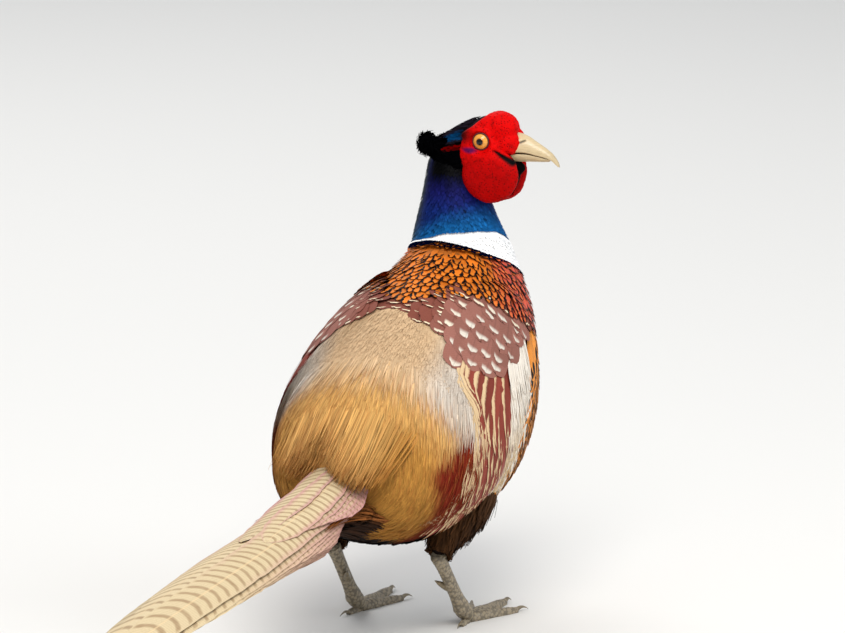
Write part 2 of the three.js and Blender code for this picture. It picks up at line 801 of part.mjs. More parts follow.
const tail = joined([tailCore(), ...tailFeathers(), ...tailCoverts()])
  .subtract(torsoLifted)
  .subtract(plumesLifted);
addNode("tail", largest(tail), 0xc9a877, 0.8);

bird.updateMatrixWorld(true);
const box = new THREE.Box3().setFromObject(bird, true);
const middle = box.getCenter(new THREE.Vector3());
bird.position.set(-middle.x, -middle.y, -box.min.z);

export default bird;
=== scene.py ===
# A cock common pheasant, dressed over its imported solids: skin, feathers, bare face, bill and legs.
# Lengths are millimetres on the drawing board, where the feet stand either side of x = 0, and
# every mesh is built in metres in the model's own frame.
import math

import bpy
import numpy as np
from mathutils import Matrix, Vector, kdtree, noise


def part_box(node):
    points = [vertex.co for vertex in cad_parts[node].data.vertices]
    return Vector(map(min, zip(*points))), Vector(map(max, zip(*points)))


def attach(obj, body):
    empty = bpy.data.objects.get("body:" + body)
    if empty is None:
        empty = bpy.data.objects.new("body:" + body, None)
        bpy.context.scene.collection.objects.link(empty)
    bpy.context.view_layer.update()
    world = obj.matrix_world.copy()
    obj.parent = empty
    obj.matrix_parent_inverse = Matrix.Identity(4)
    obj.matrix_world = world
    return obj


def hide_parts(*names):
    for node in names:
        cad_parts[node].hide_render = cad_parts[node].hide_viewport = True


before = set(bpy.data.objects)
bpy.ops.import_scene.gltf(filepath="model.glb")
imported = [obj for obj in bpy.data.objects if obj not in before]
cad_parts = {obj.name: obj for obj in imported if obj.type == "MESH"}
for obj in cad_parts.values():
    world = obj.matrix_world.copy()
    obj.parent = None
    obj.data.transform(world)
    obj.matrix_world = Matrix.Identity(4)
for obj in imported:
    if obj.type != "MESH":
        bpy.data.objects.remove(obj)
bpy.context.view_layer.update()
scene = bpy.context.scene
SEED = 4711
rng = np.random.default_rng(SEED)
RIGHT, LEFT = -1, 1
SIDES = ((RIGHT, "right"), (LEFT, "left"))

# Stations of the body from under the tail to inside the skull: back x, z, belly x, z, half width.
BODY = np.array([
    (-137, 110, -135, 99, 9), (-134, 122, -123, 80, 34), (-124, 139, -104, 67, 50),
    (-105, 160, -76, 59, 61), (-78, 181, -42, 56, 68), (-46, 200, -5, 57, 71),
    (-14, 214, 38, 66, 66.5), (10, 223, 75, 88, 57.5), (20, 228, 96, 119, 49),
    (24, 230, 105, 152, 43), (26, 231, 103, 180, 37.5), (27, 233, 96, 201, 33.2),
    (27.5, 240, 88, 220, 29.6), (26.5, 251, 77, 241, 24.2), (27.5, 263, 69, 259, 20),
    (29, 276, 65.5, 274, 17.2), (32, 288, 63, 287, 14.5),
], float)
NECK_TOP = len(BODY) - 1
HEAD_AT = np.array([47, -22.9, 297.0])
HEAD_TURN = math.radians(-86)
HEAD_COS, HEAD_SIN = math.cos(HEAD_TURN), math.sin(HEAD_TURN)
# Forward, crown height, jaw height and half width of the head, from its own middle.
HEAD = np.array([
    (-37, -6, -14, 6), (-33, -2, -18, 12), (-26, 2.6, -24, 15.5), (-17, 6.8, -27, 16.5),
    (-8, 9.5, -26, 16), (2, 11.5, -22, 14.5), (11, 11, -18, 12), (17, 8, -15.5, 9),
    (21, 3.5, -13, 5.5),
], float)
EYE_OUT, EYE_RADIUS = 10.2, 6.4
# Where a folded wing lies: place along the body, then its upper and lower turn in degrees.
WING = np.array([
    (2.6, 88, 120), (3.4, 72, 120), (3.8, 56, 119), (4.2, 38, 117), (4.7, 20, 110),
    (5.3, 9, 98), (6, 17, 91), (7, 35, 86), (7.6, 46, 82), (8.3, 58, 74),
], float)
WING_RISE = 4.6


# ---- The body's surface ----

def along(column, place):
    """Catmull-Rom interpolation of a column at places counted in stations."""
    last = len(column) - 1
    place = np.clip(np.asarray(place, float), 0, last)
    k = np.clip(np.floor(place), 0, last - 1).astype(int)
    u = place - k
    a, b, c, d = (column[np.clip(k + i, 0, last)] for i in (-1, 0, 1, 2))
    return b + 0.5 * u * (c - a + u * (2 * a - 5 * b + 4 * c - d + u * (3 * (b - c) + d - a)))


def skin_at(place, turn):
    up = 0.5 * (1 + np.cos(turn))
    bx, bz, vx, vz, half = (along(BODY[:, i], place) for i in range(5))
    return np.stack([vx + (bx - vx) * up, half * np.sin(turn), vz + (bz - vz) * up], -1)


def unit(vectors, least=0.0):
    """Vectors brought to a length of one."""
    return vectors / (np.linalg.norm(vectors, axis=-1, keepdims=True) + least)


def smooth(low, high, x):
    u = np.clip((np.asarray(x, float) - low) / (high - low), 0, 1)
    return u * u * (3 - 2 * u)


def signed_side(turn):
    """Degrees from the line of the back, positive on the left."""
    return np.degrees((np.asarray(turn) + math.pi) % (2 * math.pi) - math.pi)


def side_of(turn):
    return np.abs(signed_side(turn))


def wing_bulge(place, turn):
    """How far the folded wing lifts the coat, in millimetres."""
    side = side_of(turn)
    upper, lower = (np.interp(place, WING[:, 0], WING[:, column]) for column in (1, 2))
    share = np.clip((side - upper) / (lower - upper), 0, 1)
    across = np.sqrt(np.clip(4 * share * (1 - share), 0, 1))
    return WING_RISE * across * smooth(2.5, 3.9, place) * (1 - smooth(7.2, 8.4, place))


# The white ring: degrees from the back line, left positive, then its lower and upper place.
COLLAR = np.array([
    (-180, 10.5, 11.9), (-110, 10.5, 12.1), (-75, 10.5, 12.3), (-45, 10.25, 12.15),
    (-22, 10.55, 11.9), (0, 10.93, 11.68), (15, 10.95, 11.3), (30, 10.9, 11.1), (66, 10.93, 11.1),
    (90, 10.8, 11.3), (130, 10.55, 11.7), (180, 10.5, 11.9)])


def collar_low(turn):
    return np.interp(signed_side(turn), COLLAR[:, 0], COLLAR[:, 1])


def collar_high(turn):
    return np.interp(signed_side(turn), COLLAR[:, 0], COLLAR[:, 2])


def by_side(sides, values):
    """A value that changes with the degrees from the line of the back."""
    return lambda side: np.interp(side, sides, values)


# Where tracts of feathers end, as places along the body.
mantle_edge = by_side([0, 16, 33, 46, 56, 62, 70, 91, 180],
                      [5.45, 5.7, 6.2, 6.5, 6.7, 6.95, 7.75, 8.1, 8.2])
scapular_edge = by_side([0, 24, 42, 50, 57, 60, 62.5, 66],
                        [5.18, 4.75, 4.25, 4.6, 5.0, 5.95, 6.7, 8.0])
wing_rear = by_side([0, 42, 60, 74, 93, 105, 120, 180],
                    [5.18, 4.2, 4.05, 3.6, 3.1, 2.9, 2.6, 2.6])
wing_front = by_side([60, 65, 70, 76, 82, 90, 97, 105, 118],
                     [6.7, 6.5, 6.15, 5.7, 5.4, 5.2, 5.0, 4.8, 4.6])
# The plumes of the rump end here, parted over the tail.
hem = by_side([0, 8, 24, 50, 85, 120], [1.0, 0.7, 0.42, 0.3, 0.25, 0.4])


# ---- From the drawing board to the model ----

def from_head(points):
    """Points of the head's own frame, forward, left and up, on the drawing board."""
    ahead, left, up = np.moveaxis(np.asarray(points, float), -1, 0)
    return np.stack([ahead * HEAD_COS - left * HEAD_SIN, ahead * HEAD_SIN + left * HEAD_COS, up],
                    -1) + HEAD_AT


def to_head(points):
    x, y, z = np.moveaxis(np.asarray(points, float) - HEAD_AT, -1, 0)
    return np.stack([x * HEAD_COS + y * HEAD_SIN, y * HEAD_COS - x * HEAD_SIN, z], -1)


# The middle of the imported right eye, in millimetres, says where the drawing board lies.
SHIFT = np.add(*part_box("eye_right")) * 500 - from_head((0, -EYE_OUT, 0))


def metres(points):
    return (np.asarray(points, float) + SHIFT) / 1000


# ---- Meshes ----

def mesh_piece(name, points, faces, finish, layers=None, tints=None, slot=None, replaces=()):
    """A piece from points on the drawing board. Layers are UV maps and tints colours, by point."""
    mesh = bpy.data.meshes.new(name)
    if isinstance(faces[0], np.ndarray):
        mesh.vertices.add(len(points))
        mesh.vertices.foreach_set("co", metres(points).astype(np.float32).ravel())
        sizes = np.concatenate([np.full(len(f), f.shape[1]) for f in faces])
        corners = np.concatenate([f.ravel() for f in faces])
        mesh.loops.add(len(corners))
        mesh.loops.foreach_set("vertex_index", corners.astype(np.int32))
        mesh.polygons.add(len(sizes))
        starts = np.concatenate([[0], np.cumsum(sizes)[:-1]])
        mesh.polygons.foreach_set("loop_start", starts.astype(np.int32))
        mesh.update(calc_edges=True)
    else:
        mesh.from_pydata(metres(points).tolist(), [], faces)
    for layer, values in (layers or {}).items():
        add_map(mesh, layer, values)
    for label, values in (tints or {}).items():
        add_tint(mesh, label, values)
    piece = bpy.data.objects.new(name, mesh)
    scene.collection.objects.link(piece)
    return dress(piece, finish, replaces)


def add_map(mesh, layer, values):
    """A UV map, by point."""
    index = np.zeros(len(mesh.loops), np.int32)
    mesh.loops.foreach_get("vertex_index", index)
    mesh.uv_layers.new(name=layer).data.foreach_set(
        "uv", np.asarray(values, np.float32)[index].ravel())


def add_tint(mesh, label, values):
    """A colour attribute with four numbers, by point."""
    mesh.color_attributes.new(label, "FLOAT_COLOR", "POINT").data.foreach_set(
        "color", np.asarray(values, np.float32).ravel())


def dress(piece, finish, replaces=()):
    """Smooths a piece, gives it its finish, hangs it from the root empty and hides any imported
    parts it replaces.
    """
    piece.data.polygons.foreach_set("use_smooth", np.ones(len(piece.data.polygons), bool))
    piece.data.materials.clear()
    piece.data.materials.append(finish.material)
    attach(piece, "root")
    if replaces:
        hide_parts(*replaces)
    return piece


def select_only(*pieces):
    bpy.ops.object.select_all(action="DESELECT")
    for piece in pieces:
        piece.select_set(True)
    bpy.context.view_layer.objects.active = pieces[0]


def apply_modifier(piece, kind, **settings):
    modifier = piece.modifiers.new(kind, kind)
    for key, value in settings.items():
        setattr(modifier, key, value)
    select_only(piece)
    bpy.ops.object.modifier_apply(modifier=modifier.name)


def grid_faces(rings, count):
    """Quads between rings of points, each ring closed on itself."""
    k, i = np.meshgrid(np.arange(rings - 1), np.arange(count), indexing="ij")
    a, b = k * count + i, k * count + (i + 1) % count
    return np.stack([a, b, b + count, a + count], -1).reshape(-1, 4)


def loft(rings):
    """Points and faces of a closed tube through rings of equal count."""
    rings = np.asarray(rings, float)
    count = rings.shape[1]
    faces = grid_faces(len(rings), count).tolist()
    ends = [rings[0].mean(0), rings[-1].mean(0)]
    total = len(rings) * count
    for i in range(count):
        j = (i + 1) % count
        faces.append([total, j, i])
        faces.append([total + 1, total - count + i, total - count + j])
    return np.concatenate([rings.reshape(-1, 3), ends]), faces


def mesh_points(piece):
    co = np.zeros(len(piece.data.vertices) * 3, np.float32)
    piece.data.vertices.foreach_get("co", co)
    return co.reshape(-1, 3).astype(float) * 1000 - SHIFT


def set_points(piece, points):
    piece.data.vertices.foreach_set("co", metres(points).astype(np.float32).ravel())
    piece.data.update()


def point_normals(piece):
    normals = np.zeros(len(piece.data.vertices) * 3, np.float32)
    piece.data.vertex_normals.foreach_get("vector", normals)
    return normals.reshape(-1, 3).astype(float)


def primitive(add, name, at, **settings):
    """One of Blender's own solids, set in the head's own frame."""
    add(location=metres(from_head(at)), **settings)
    bpy.ops.object.transform_apply(location=True, rotation=True, scale=True)
    piece = bpy.context.object
    piece.name = piece.data.name = name
    return piece


def one_skin(pieces, name, voxel_size, rounds):
    """One smooth closed skin round pieces that overlap."""
    select_only(*pieces)
    bpy.ops.object.join()
    piece = bpy.context.object
    piece.name = piece.data.name = name
    apply_modifier(piece, "REMESH", mode="VOXEL", voxel_size=voxel_size)
    apply_modifier(piece, "SMOOTH", factor=0.5, iterations=rounds)
    return piece


# ---- Finishes ----

class Value:
    """A socket that adds its own Math nodes."""

    def __init__(self, finish, socket):
        self.finish, self.socket = finish, socket

    def math(self, operation, *others, first=None):
        values = [self, *others] if first is None else [first, self]
        return self.finish.node("ShaderNodeMath", {"operation": operation}, values)

    def __add__(self, other):
        return self.math("ADD", other)

    def __sub__(self, other):
        return self.math("SUBTRACT", other)

    def __rsub__(self, other):
        return self.math("SUBTRACT", first=other)

    def __mul__(self, other):
        return self.math("MULTIPLY", other)

    def __truediv__(self, other):
        return self.math("DIVIDE", other)

    def __pow__(self, other):
        return self.math("POWER", other)

    __radd__, __rmul__ = __add__, __mul__

    def size(self):
        return self.math("ABSOLUTE")

    def wave(self):
        return self.math("SINE") * 0.5 + 0.5

    def step(self, low, high):
        """Smoothly 0 below low and 1 above high, or the other way round if low is the larger."""
        return self.finish.node("ShaderNodeMapRange", {"interpolation_type": "SMOOTHSTEP"}, {
            "Value": self, "From Min": low, "From Max": high})


class Finish:
    """A material of one shader, whose nodes are added by expressions."""

    def __init__(self, name, roughness, **sockets):
        self.material = bpy.data.materials.new(name)
        self.material.use_nodes = True
        self.tree = self.material.node_tree
        self.shader = self.tree.nodes["Principled BSDF"]
        self.shader.inputs["Roughness"].default_value = roughness
        for key, value in sockets.items():
            self.shader.inputs[key.replace("_", " ")].default_value = value

    def node(self, kind, settings=None, inputs=(), out=0):
        made = self.tree.nodes.new(kind)
        for key, value in (settings or {}).items():
            setattr(made, key, value)
        for key, value in (inputs.items() if isinstance(inputs, dict) else enumerate(inputs)):
            self.put(made.inputs[key], value)
        return Value(self, made.outputs[out])

    def put(self, socket, value):
        if isinstance(value, Value):
            self.tree.links.new(value.socket, socket)
        elif isinstance(value, str):
            socket.default_value = (*INK[value], 1)
        else:
            socket.default_value = value

    def feed(self, name, value):
        self.put(self.shader.inputs[name], value)
        return self

    def blend(self, share, a, b):
        return self.node("ShaderNodeMix", {"data_type": "RGBA"}, {0: share, 6: a, 7: b}, out=2)

    def layered(self, colour, *layers):
        """Inks over a colour, each with its share."""
        for share, ink in layers:
            colour = self.blend(share, colour, ink)
        return colour

    def dim(self, colour, share):
        """The colour times a value."""
        return self.node("ShaderNodeVectorMath", {"operation": "SCALE"}, {0: colour, 3: share})

    def place(self):
        return self.node("ShaderNodeTexCoord", out="Object")

    def tint(self, label):
        """The colour and the fourth number of a colour attribute."""
        colour = self.node("ShaderNodeAttribute", {"attribute_name": label})
        return colour, Value(self, colour.socket.node.outputs["Alpha"])

    def parts(self, label):
        """All four numbers of a colour attribute."""
        colour, fourth = self.tint(label)
        parts = self.node("ShaderNodeSeparateColor", None, [colour]).socket.node
        return *(Value(self, out) for out in parts.outputs), fourth

    def across_and_down(self, layer="vane"):
        """Place on a feather: -1 to 1 across it, and 0 at its root to 1 at its tip."""
        across = self.node(
            "ShaderNodeSeparateXYZ", None, [self.node("ShaderNodeUVMap", {"uv_map": layer})])
        return across * 2 - 1, Value(self, across.socket.node.outputs[1])

    def cells(self, scale):
        return self.node("ShaderNodeTexVoronoi", None, {"Vector": self.place(), "Scale": scale})

    def grain(self, scale, detail, stretch=None):
        vector = self.place()
        if stretch:
            vector = self.node("ShaderNodeMapping", None, {"Vector": vector, "Scale": stretch})
        return self.node("ShaderNodeTexNoise", None, {
            "Vector": vector, "Scale": scale, "Detail": detail})

    def bump(self, height, strength, distance):
        normal = self.node("ShaderNodeBump", None, {
            "Height": height, "Strength": strength, "Distance": distance})
        return self.feed("Normal", normal)


def grainy(name, roughness, first, second, scale, detail, strength):
    """Two colours mixed by a grain, which also roughens the surface a little."""
    finish = Finish(name, roughness)
    grain = finish.grain(scale, detail)
    finish.feed("Base Color", finish.blend(grain, first, second))
    return finish.bump(grain, strength, 0.0003)


# ---- Surfaces that feathers grow on ----

SHEET_START, SHEET_SPAN = 0.02, 0.96
TURN_STEP = 0.05
PROBES, TRIES_PER_ROOT = 4000, 12


class Ground:
    """A surface known by place and turn, with the lift of its coat and a flat unwrap of its own."""

    def __init__(self, at, last, bulge=None):
        self.at, self.last, self.bulge = at, last, bulge

    def frame(self, place, turn):
        d = 0.004 * self.last
        ahead = (self.at(place + d, turn) - self.at(place - d, turn)) / (2 * d)
        round_ = (self.at(place, turn + TURN_STEP) - self.at(place, turn - TURN_STEP)) / (
            2 * TURN_STEP)
        normal = unit(np.cross(ahead, round_), 1e-9)
        pace = np.maximum(np.linalg.norm(ahead, axis=-1), 30 / self.last)
        return self.at(place, turn), normal, pace, np.maximum(np.linalg.norm(round_, axis=-1), 2.5)

    def lift(self, place, turn):
        return self.bulge(place, turn) if self.bulge else np.zeros(np.shape(place))

    def unwrap(self, place, turn):
        turn = (turn + math.pi) % (2 * math.pi)
        return np.stack([SHEET_START + SHEET_SPAN * turn / (2 * math.pi),
                         SHEET_START + SHEET_SPAN * np.clip(place / self.last, 0, 1)], -1)

    def scatter(self, low, high, inside, spacing, squash=1.0):
        """Roots spread evenly over the part of the surface that the test says is inside.

        A squash below 1 spaces them out sideways, so that they stand in rows.
        """
        _, _, pace, reach = self.frame(
            rng.uniform(low, high, PROBES), rng.uniform(-math.pi, math.pi, PROBES))
        peak = (pace * reach).max()
        tries = int(TRIES_PER_ROOT * peak * (high - low) * 2 * math.pi / spacing ** 2)
        place = rng.uniform(low, high, tries)
        turn = rng.uniform(-math.pi, math.pi, tries)
        keep = inside(place, turn)
        place, turn = place[keep], turn[keep]
        point, _, pace, reach = self.frame(place, turn)
        keep = rng.random(len(place)) * peak < pace * reach
        place, turn, point = place[keep], turn[keep], point[keep]
        point = point * (1, squash, 1)
        taken, chosen = {}, []
        cells = np.floor(point / spacing).astype(int)
        near = [(i, j, k) for i in (-1, 0, 1) for j in (-1, 0, 1) for k in (-1, 0, 1)]
        for n, (cx, cy, cz) in enumerate(cells.tolist()):
            x, y, z = point[n]
            if all((x - a) ** 2 + (y - b) ** 2 + (z - c) ** 2 >= spacing * spacing
                   for i, j, k in near for a, b, c in taken.get((cx + i, cy + j, cz + k), ())):
                taken.setdefault((cx, cy, cz), []).append((x, y, z))
                chosen.append(n)
        return place[chosen], turn[chosen]


def head_at(place, turn):
    """The head's own skin: 0 at its rear to 8 at the bill, turned from the crown over the left."""
    place, turn = np.broadcast_arrays(place, turn)
    f, crown, jaw, half = (along(HEAD[:, i], place) for i in range(4))
    side = np.sign(np.sin(turn)) * np.abs(np.sin(turn)) ** 0.85
    return from_head(np.stack([
        f, half * side, (crown + jaw) / 2 + (crown - jaw) / 2 * np.cos(turn)], -1))


def pouch(middle, reach, wide, height, deep):
    """A rounded bag under the head, from its rear at 0 to its front at 1."""
    def at(place, turn):
        place, turn = np.broadcast_arrays(place, turn)
        angle = np.clip(place, 0.001, 0.999) * math.pi
        return from_head(np.stack([
            middle - reach * np.cos(angle), wide * np.sin(angle) * np.sin(turn),
            height + deep * np.sin(angle) * np.cos(turn)], -1))

    return at


THIGH_TOP, HOCK, ANKLE = (np.array(p, float) for p in ((-30, 40, 92), (-60, 36, 52), (-27, 37, 12)))


def thigh_at(side):
    """The feathered part of a leg, from the hock at 0 up into the body at 1."""
    top, hock = THIGH_TOP * (1, side, 1), HOCK * (1, side, 1)
    axis = unit(top - hock)
    across = np.array([0.0, side, 0.0])
    across = unit(across - axis * (across @ axis))
    front = np.cross(across, axis)
    wide, deep = np.array([5.4, 16, 24.0]), np.array([6, 20.5, 30.0])

    def at(place, turn):
        place, turn = np.broadcast_arrays(np.clip(place, -0.02, 1), turn)
        middle = hock + place[..., None] * (top - hock)
        return (middle + across * (along(wide, place * 2) * np.cos(turn))[..., None]
                + front * (along(deep, place * 2) * np.sin(turn))[..., None])

    return at


def crown_rise(place, turn):
    """The raised crown between the brows."""
    return np.interp(place, [2.2, 3.2, 4, 4.5, 5.1, 5.7, 6.3], [0, 1.4, 2.6, 4.2, 4.2, 2.2, 0]) * (
        1 - smooth(30, 65, side_of(turn)))


body = Ground(skin_at, NECK_TOP, wing_bulge)
head = Ground(head_at, 8, crown_rise)
throat = Ground(pouch(3.5, 18.5, 9.5, -24, 15), 1)
chin = Ground(pouch(17, 9.5, 5.5, -18, 5.5), 1)
thighs = {side: Ground(thigh_at(side), 1) for side, _ in SIDES}

# Shares of a feather's length where it is cut across, and its width there.
HAIR = np.array([(0, 0.8), (0.35, 1), (0.7, 0.62), (1, 0.06)])
TUFT = np.array([(0, 0.7), (0.45, 1), (0.82, 0.8), (1, 0.2)])
SCALE = np.array([(0, 0.5), (0.4, 0.95), (0.75, 1), (0.93, 0.66), (1, 0.16)])
ROUND = np.array([(0, 0.4), (0.25, 0.8), (0.5, 1), (0.72, 1), (0.87, 0.84), (0.96, 0.5), (1, 0.14)])
POINTED = np.array([
    (0, 0.45), (0.2, 0.8), (0.42, 1), (0.62, 0.94), (0.79, 0.74), (0.92, 0.42), (1, 0.06)])
TUFTED = {"outline": TUFT, "across": 2, "thick": 0.15}
LOOSE = {"outline": HAIR, "across": 2, "thick": 0.12}
BROAD = {"outline": ROUND, "across": 5, "thick": 0.15}
# A feather shows from here to its tip, and takes its colour from there.
SHOWS_FROM = 0.55
SMOOTH_ANGLE = math.radians(40)


def feather_mesh(name, centre, normal, half, finish, tint, unwrap, patch, shares, across=3,
                 cup=0.06, thick=0.25, scruff=0.05, ragged=0.0, ruled=False, marks=None,
                 **dressing):
    """Closed blades along paths. Arrays run over feathers, cuts along them and x, y, z."""
    count, cuts = half.shape
    path = unit(np.gradient(centre, axis=1), 1e-9)
    sideways = unit(np.cross(path, normal), 1e-9)
    half = half * (1 + scruff * rng.standard_normal(half.shape))
    x = np.linspace(-1, 1, across)
    top = (centre[:, :, None] + sideways[:, :, None] * (half[..., None] * x)[..., None]
           - normal[:, :, None] * (cup * half[..., None] * x ** 2)[..., None])
    if ragged:
        reach = np.linalg.norm(centre[:, -1] - centre[:, 0], axis=-1)[:, None, None]
        fray = ragged * rng.standard_normal((count, 1, across)) * reach * shares[None, :, None] ** 3
        top = top + path[:, :, None] * fray[..., None]
    below = centre - normal * (thick + cup * 0.3 * half)[..., None]
    points = np.concatenate([top, below[:, :, None]], 2)
    ring = across + 1
    sides = grid_faces(cuts, ring)
    start = (np.arange(count) * cuts * ring)[:, None, None]
    quads = (sides[None] + start).reshape(-1, 4)
    caps = np.stack([np.arange(ring)[::-1], (cuts - 1) * ring + np.arange(ring)])
    caps = (caps[None] + start).reshape(-1, ring)
    u = np.append((x + 1) / 2, 0.5)
    vane = np.stack(np.broadcast_arrays(
        u[None, None, :], shares[None, :, None] + 0 * half[..., None]), -1)
    bake = unwrap[:, None, None] + (vane - 0.5) * np.asarray(patch)
    layers = {"vane": vane.reshape(-1, 2), "OFBake": bake.reshape(-1, 2)}
    if ruled:
        step = np.linalg.norm(np.diff(centre, axis=1), axis=-1)
        run = np.concatenate([np.zeros((count, 1)), np.cumsum(step, axis=1)], 1) / 100
        layers["run"] = np.stack(np.broadcast_arrays(
            u[None, None, :], run[..., None]), -1).reshape(-1, 2)
    tints = {"tint": np.repeat(tint, cuts * ring, axis=0)}
    if marks is not None:
        tints["marks"] = np.repeat(marks, cuts * ring, axis=0)
    select_only(mesh_piece(
        name, points.reshape(-1, 3), [quads, caps], finish, layers, tints, **dressing))
    bpy.ops.object.shade_smooth_by_angle(angle=SMOOTH_ANGLE)


def drawn(size, count):
    """A size for each feather, drawn evenly where a range is given."""
    return rng.uniform(*size, count) if isinstance(size, tuple) else np.broadcast_to(
        np.asarray(size, float), count)


def coat(name, roots, look, length, width, tint, heading=0.0, ground=body, outline=SCALE,
         root=-1.8, tip=0.8, hold=0.0, patch=0.003, curl=0.0, unwrap=None, slot="body_feathers",
         **more):
    """Feathers that grow from roots on a surface and lie back over it, heading down its sides.

    Sizes are numbers, arrays or ranges to draw from. A tint is a colour and how much it varies,
    and a colour that is a function is worked out where each feather shows.
    """
    place, turn = (np.array(v, float) for v in roots)
    count = len(place)
    course = heading if callable(heading) else lambda p, t: heading
    length, width = (drawn(size, count) for size in (length, width))
    if not callable(tint[0]):
        tint = shaded(tint[0], count, tint[1])
    root, tip, curl = (drawn(size, count) for size in (root, tip, curl))
    shares = outline[:, 0]
    down = np.where(turn < 0, -1.0, 1.0)
    first = ground.lift(place, turn)
    flat = ground.unwrap(place, turn) if unwrap is None else unwrap
    centre, normals = [], []
    for k, share in enumerate(shares):
        point, normal, pace, reach = ground.frame(place, turn)
        lift = hold * first + (1 - hold) * ground.lift(place, turn) + root + (tip - root) * share
        centre.append(point + normal * lift[:, None])
        normals.append(normal)
        if callable(tint[0]) and share > SHOWS_FROM:
            tint = shaded(tint[0](place, turn), count, tint[1])
        if k + 1 < len(shares):
            step = (shares[k + 1] - share) * length
            bend = course(place, turn) + curl * share
            place = np.maximum(place - np.cos(bend) * step / pace, 0.02)
            turn = turn + down * np.sin(bend) * step / reach
    half = width[:, None] / 2 * outline[:, 1]
    feather_mesh(name, np.stack(centre, 1), np.stack(normals, 1), half, FEATHERS[look], tint,
                 flat, patch, shares, slot=slot, **more)


def sway(points, scale, seed):
    """A smooth random value between -1 and 1 for each point, alike for neighbours."""
    shift = Vector((seed * 7.3, seed * 3.1, seed * 1.7))
    return np.array([noise.noise(Vector(p) * scale + shift) for p in points])


def shaded(colour, count, vary):
    """One colour for each feather, each a little lighter or darker, with a random number."""
    colour = np.broadcast_to(rgb(colour), (count, 3))
    tone = 1 + vary * rng.standard_normal((count, 1))
    return np.concatenate([np.clip(colour * tone, 0, 1), rng.random((count, 1))], 1)


# ---- Colours of the coat ----

def light(level):
    """The light of a level on screen."""
    return level / 12.92 if level <= 0.04045 else ((level + 0.055) / 1.055) ** 2.4


INK = {name: np.array([light(int(code[i:i + 2], 16) / 255) for i in (0, 2, 4)]) for name, code in {
    "mantle": "DE7620", "painted_highlight_gold": "E8922A", "soot": "150E0C", "scapular": "80443A",
    "mauve": "97645A", "cream": "F8E8C4", "pearl": "DCD4C6", "breast": "D2543E",
    "back": "CCAC86", "silver": "CBBFB1", "gold": "D0A05C", "ochre": "B07C34", "brown": "7A4E26",
    "rufous": "AA6630", "chestnut": "781E0E", "covert": "F2EADC", "tertial": "8A3C32",
    "buff": "E0C498", "flank": "E8923C", "belly": "1C1310", "white": "FFFFFE",
    "blue": "10286C", "teal": "125C9A", "violet": "16185C", "bronze": "3C4428",
    "black": "030304", "crown": "1A151C", "red": "D20000", "deep_red": "720000", "plum": "200A4C",
    "bill": "CDB78E", "horn": "A08E6C", "iris": "ECAA4A", "amber": "B0661C",
    "tail": "D2BE98", "bar": "8A6846", "pink": "C48C8C", "leg": "8C8478", "claw": "2E2A26",
    "floor": "E4E2DE", "floor_dark": "D6D4CF",
}.items()}


def rgb(colour):
    """The light values of a colour, or of the name of one."""
    return INK[colour] if isinstance(colour, str) else np.asarray(colour, float)


def fade(first, second, share):
    share = np.clip(np.asarray(share, float), 0, 1)[..., None]
    return rgb(first) * (1 - share) + rgb(second) * share


def faded(colour, *layers):
    """A colour under others, each with its share."""
    for second, share in layers:
        colour = fade(colour, second, share)
    return colour


def plain(name):
    """One colour at every place and turn."""
    return lambda place, turn: np.broadcast_to(INK[name], (*np.shape(place), 3))


NAPE = math.radians(68)


def neck_colour(place, turn):
    """Blue and violet, teal low down, bronze along the nape, which turns with the head."""
    place, turn = np.broadcast_arrays(np.asarray(place, float), np.asarray(turn, float))
    away = side_of(turn - NAPE)
    return faded(
        "blue", ("violet", smooth(12.6, 14.2, place)),
        ("teal", 1 - smooth(0.2, 1.5, place - collar_high(turn))),
        ("bronze", 0.7 * (1 - smooth(8, 42, away))),
        ("black", smooth(13.8, 15.0, place) * smooth(15, 45, away)))


def coat_colour(place, turn):
    """The ground colour of the coat at any place of the body."""
    place, turn = np.broadcast_arrays(np.asarray(place, float), np.asarray(turn, float))
    side = side_of(turn)
    low, high = collar_low(turn), collar_high(turn)
    colour = np.broadcast_to(INK["belly"], (*place.shape, 3))
    for test, shade in (
        ((place < 4) & (side < 92), fade("brown", "gold", smooth(0.6, 2.6, place))),
        ((place > 2.4) & (place < 3.7) & (side > 70) & (side < 100), INK["chestnut"]),
        ((place > 3.3) & (place < 5.6) & (side < 62), INK["back"]),
        ((place > 3.5) & (place < 4.7) & (side > 34) & (side < 74), INK["silver"]),
        ((place > 3.5) & (place < 8.2) & (side > 68) & (side < 136), INK["flank"]),
        ((place > wing_rear(side)) & (place < wing_front(side)) & (side > 42) & (side < 110),
         INK["tertial"]),
        ((place > 7.2) & (side > 66), INK["breast"]),
        ((place > mantle_edge(side)) & (side < 74), INK["mantle"]),
        ((place > scapular_edge(side)) & (place < mantle_edge(side)) & (side < 62),
         INK["scapular"]),
        (place > low - 0.45, INK["blue"] * 0.3),
        (place > low, INK["white"]),
        (place > high, neck_colour(place, turn)),
    ):
        colour = np.where(test[..., None], shade, colour)
    return colour


def head_colour(place, turn):
    """A dark crown, a teal patch and a dark red streak behind the face, and black below."""
    side = side_of(turn)
    behind = smooth(1.5, 2.1, place) * (1 - smooth(3.1, 3.6, place))
    patch = smooth(32, 40, side) * (1 - smooth(52, 58, side))
    streak = smooth(65, 69, side) * (1 - smooth(74, 78, side))
    return faded("crown", ("black", smooth(58, 64, side)), (INK["teal"] * 0.3, behind * patch),
                 (INK["deep_red"] * 0.7, behind * streak))


# ---- Finishes of feathers ----

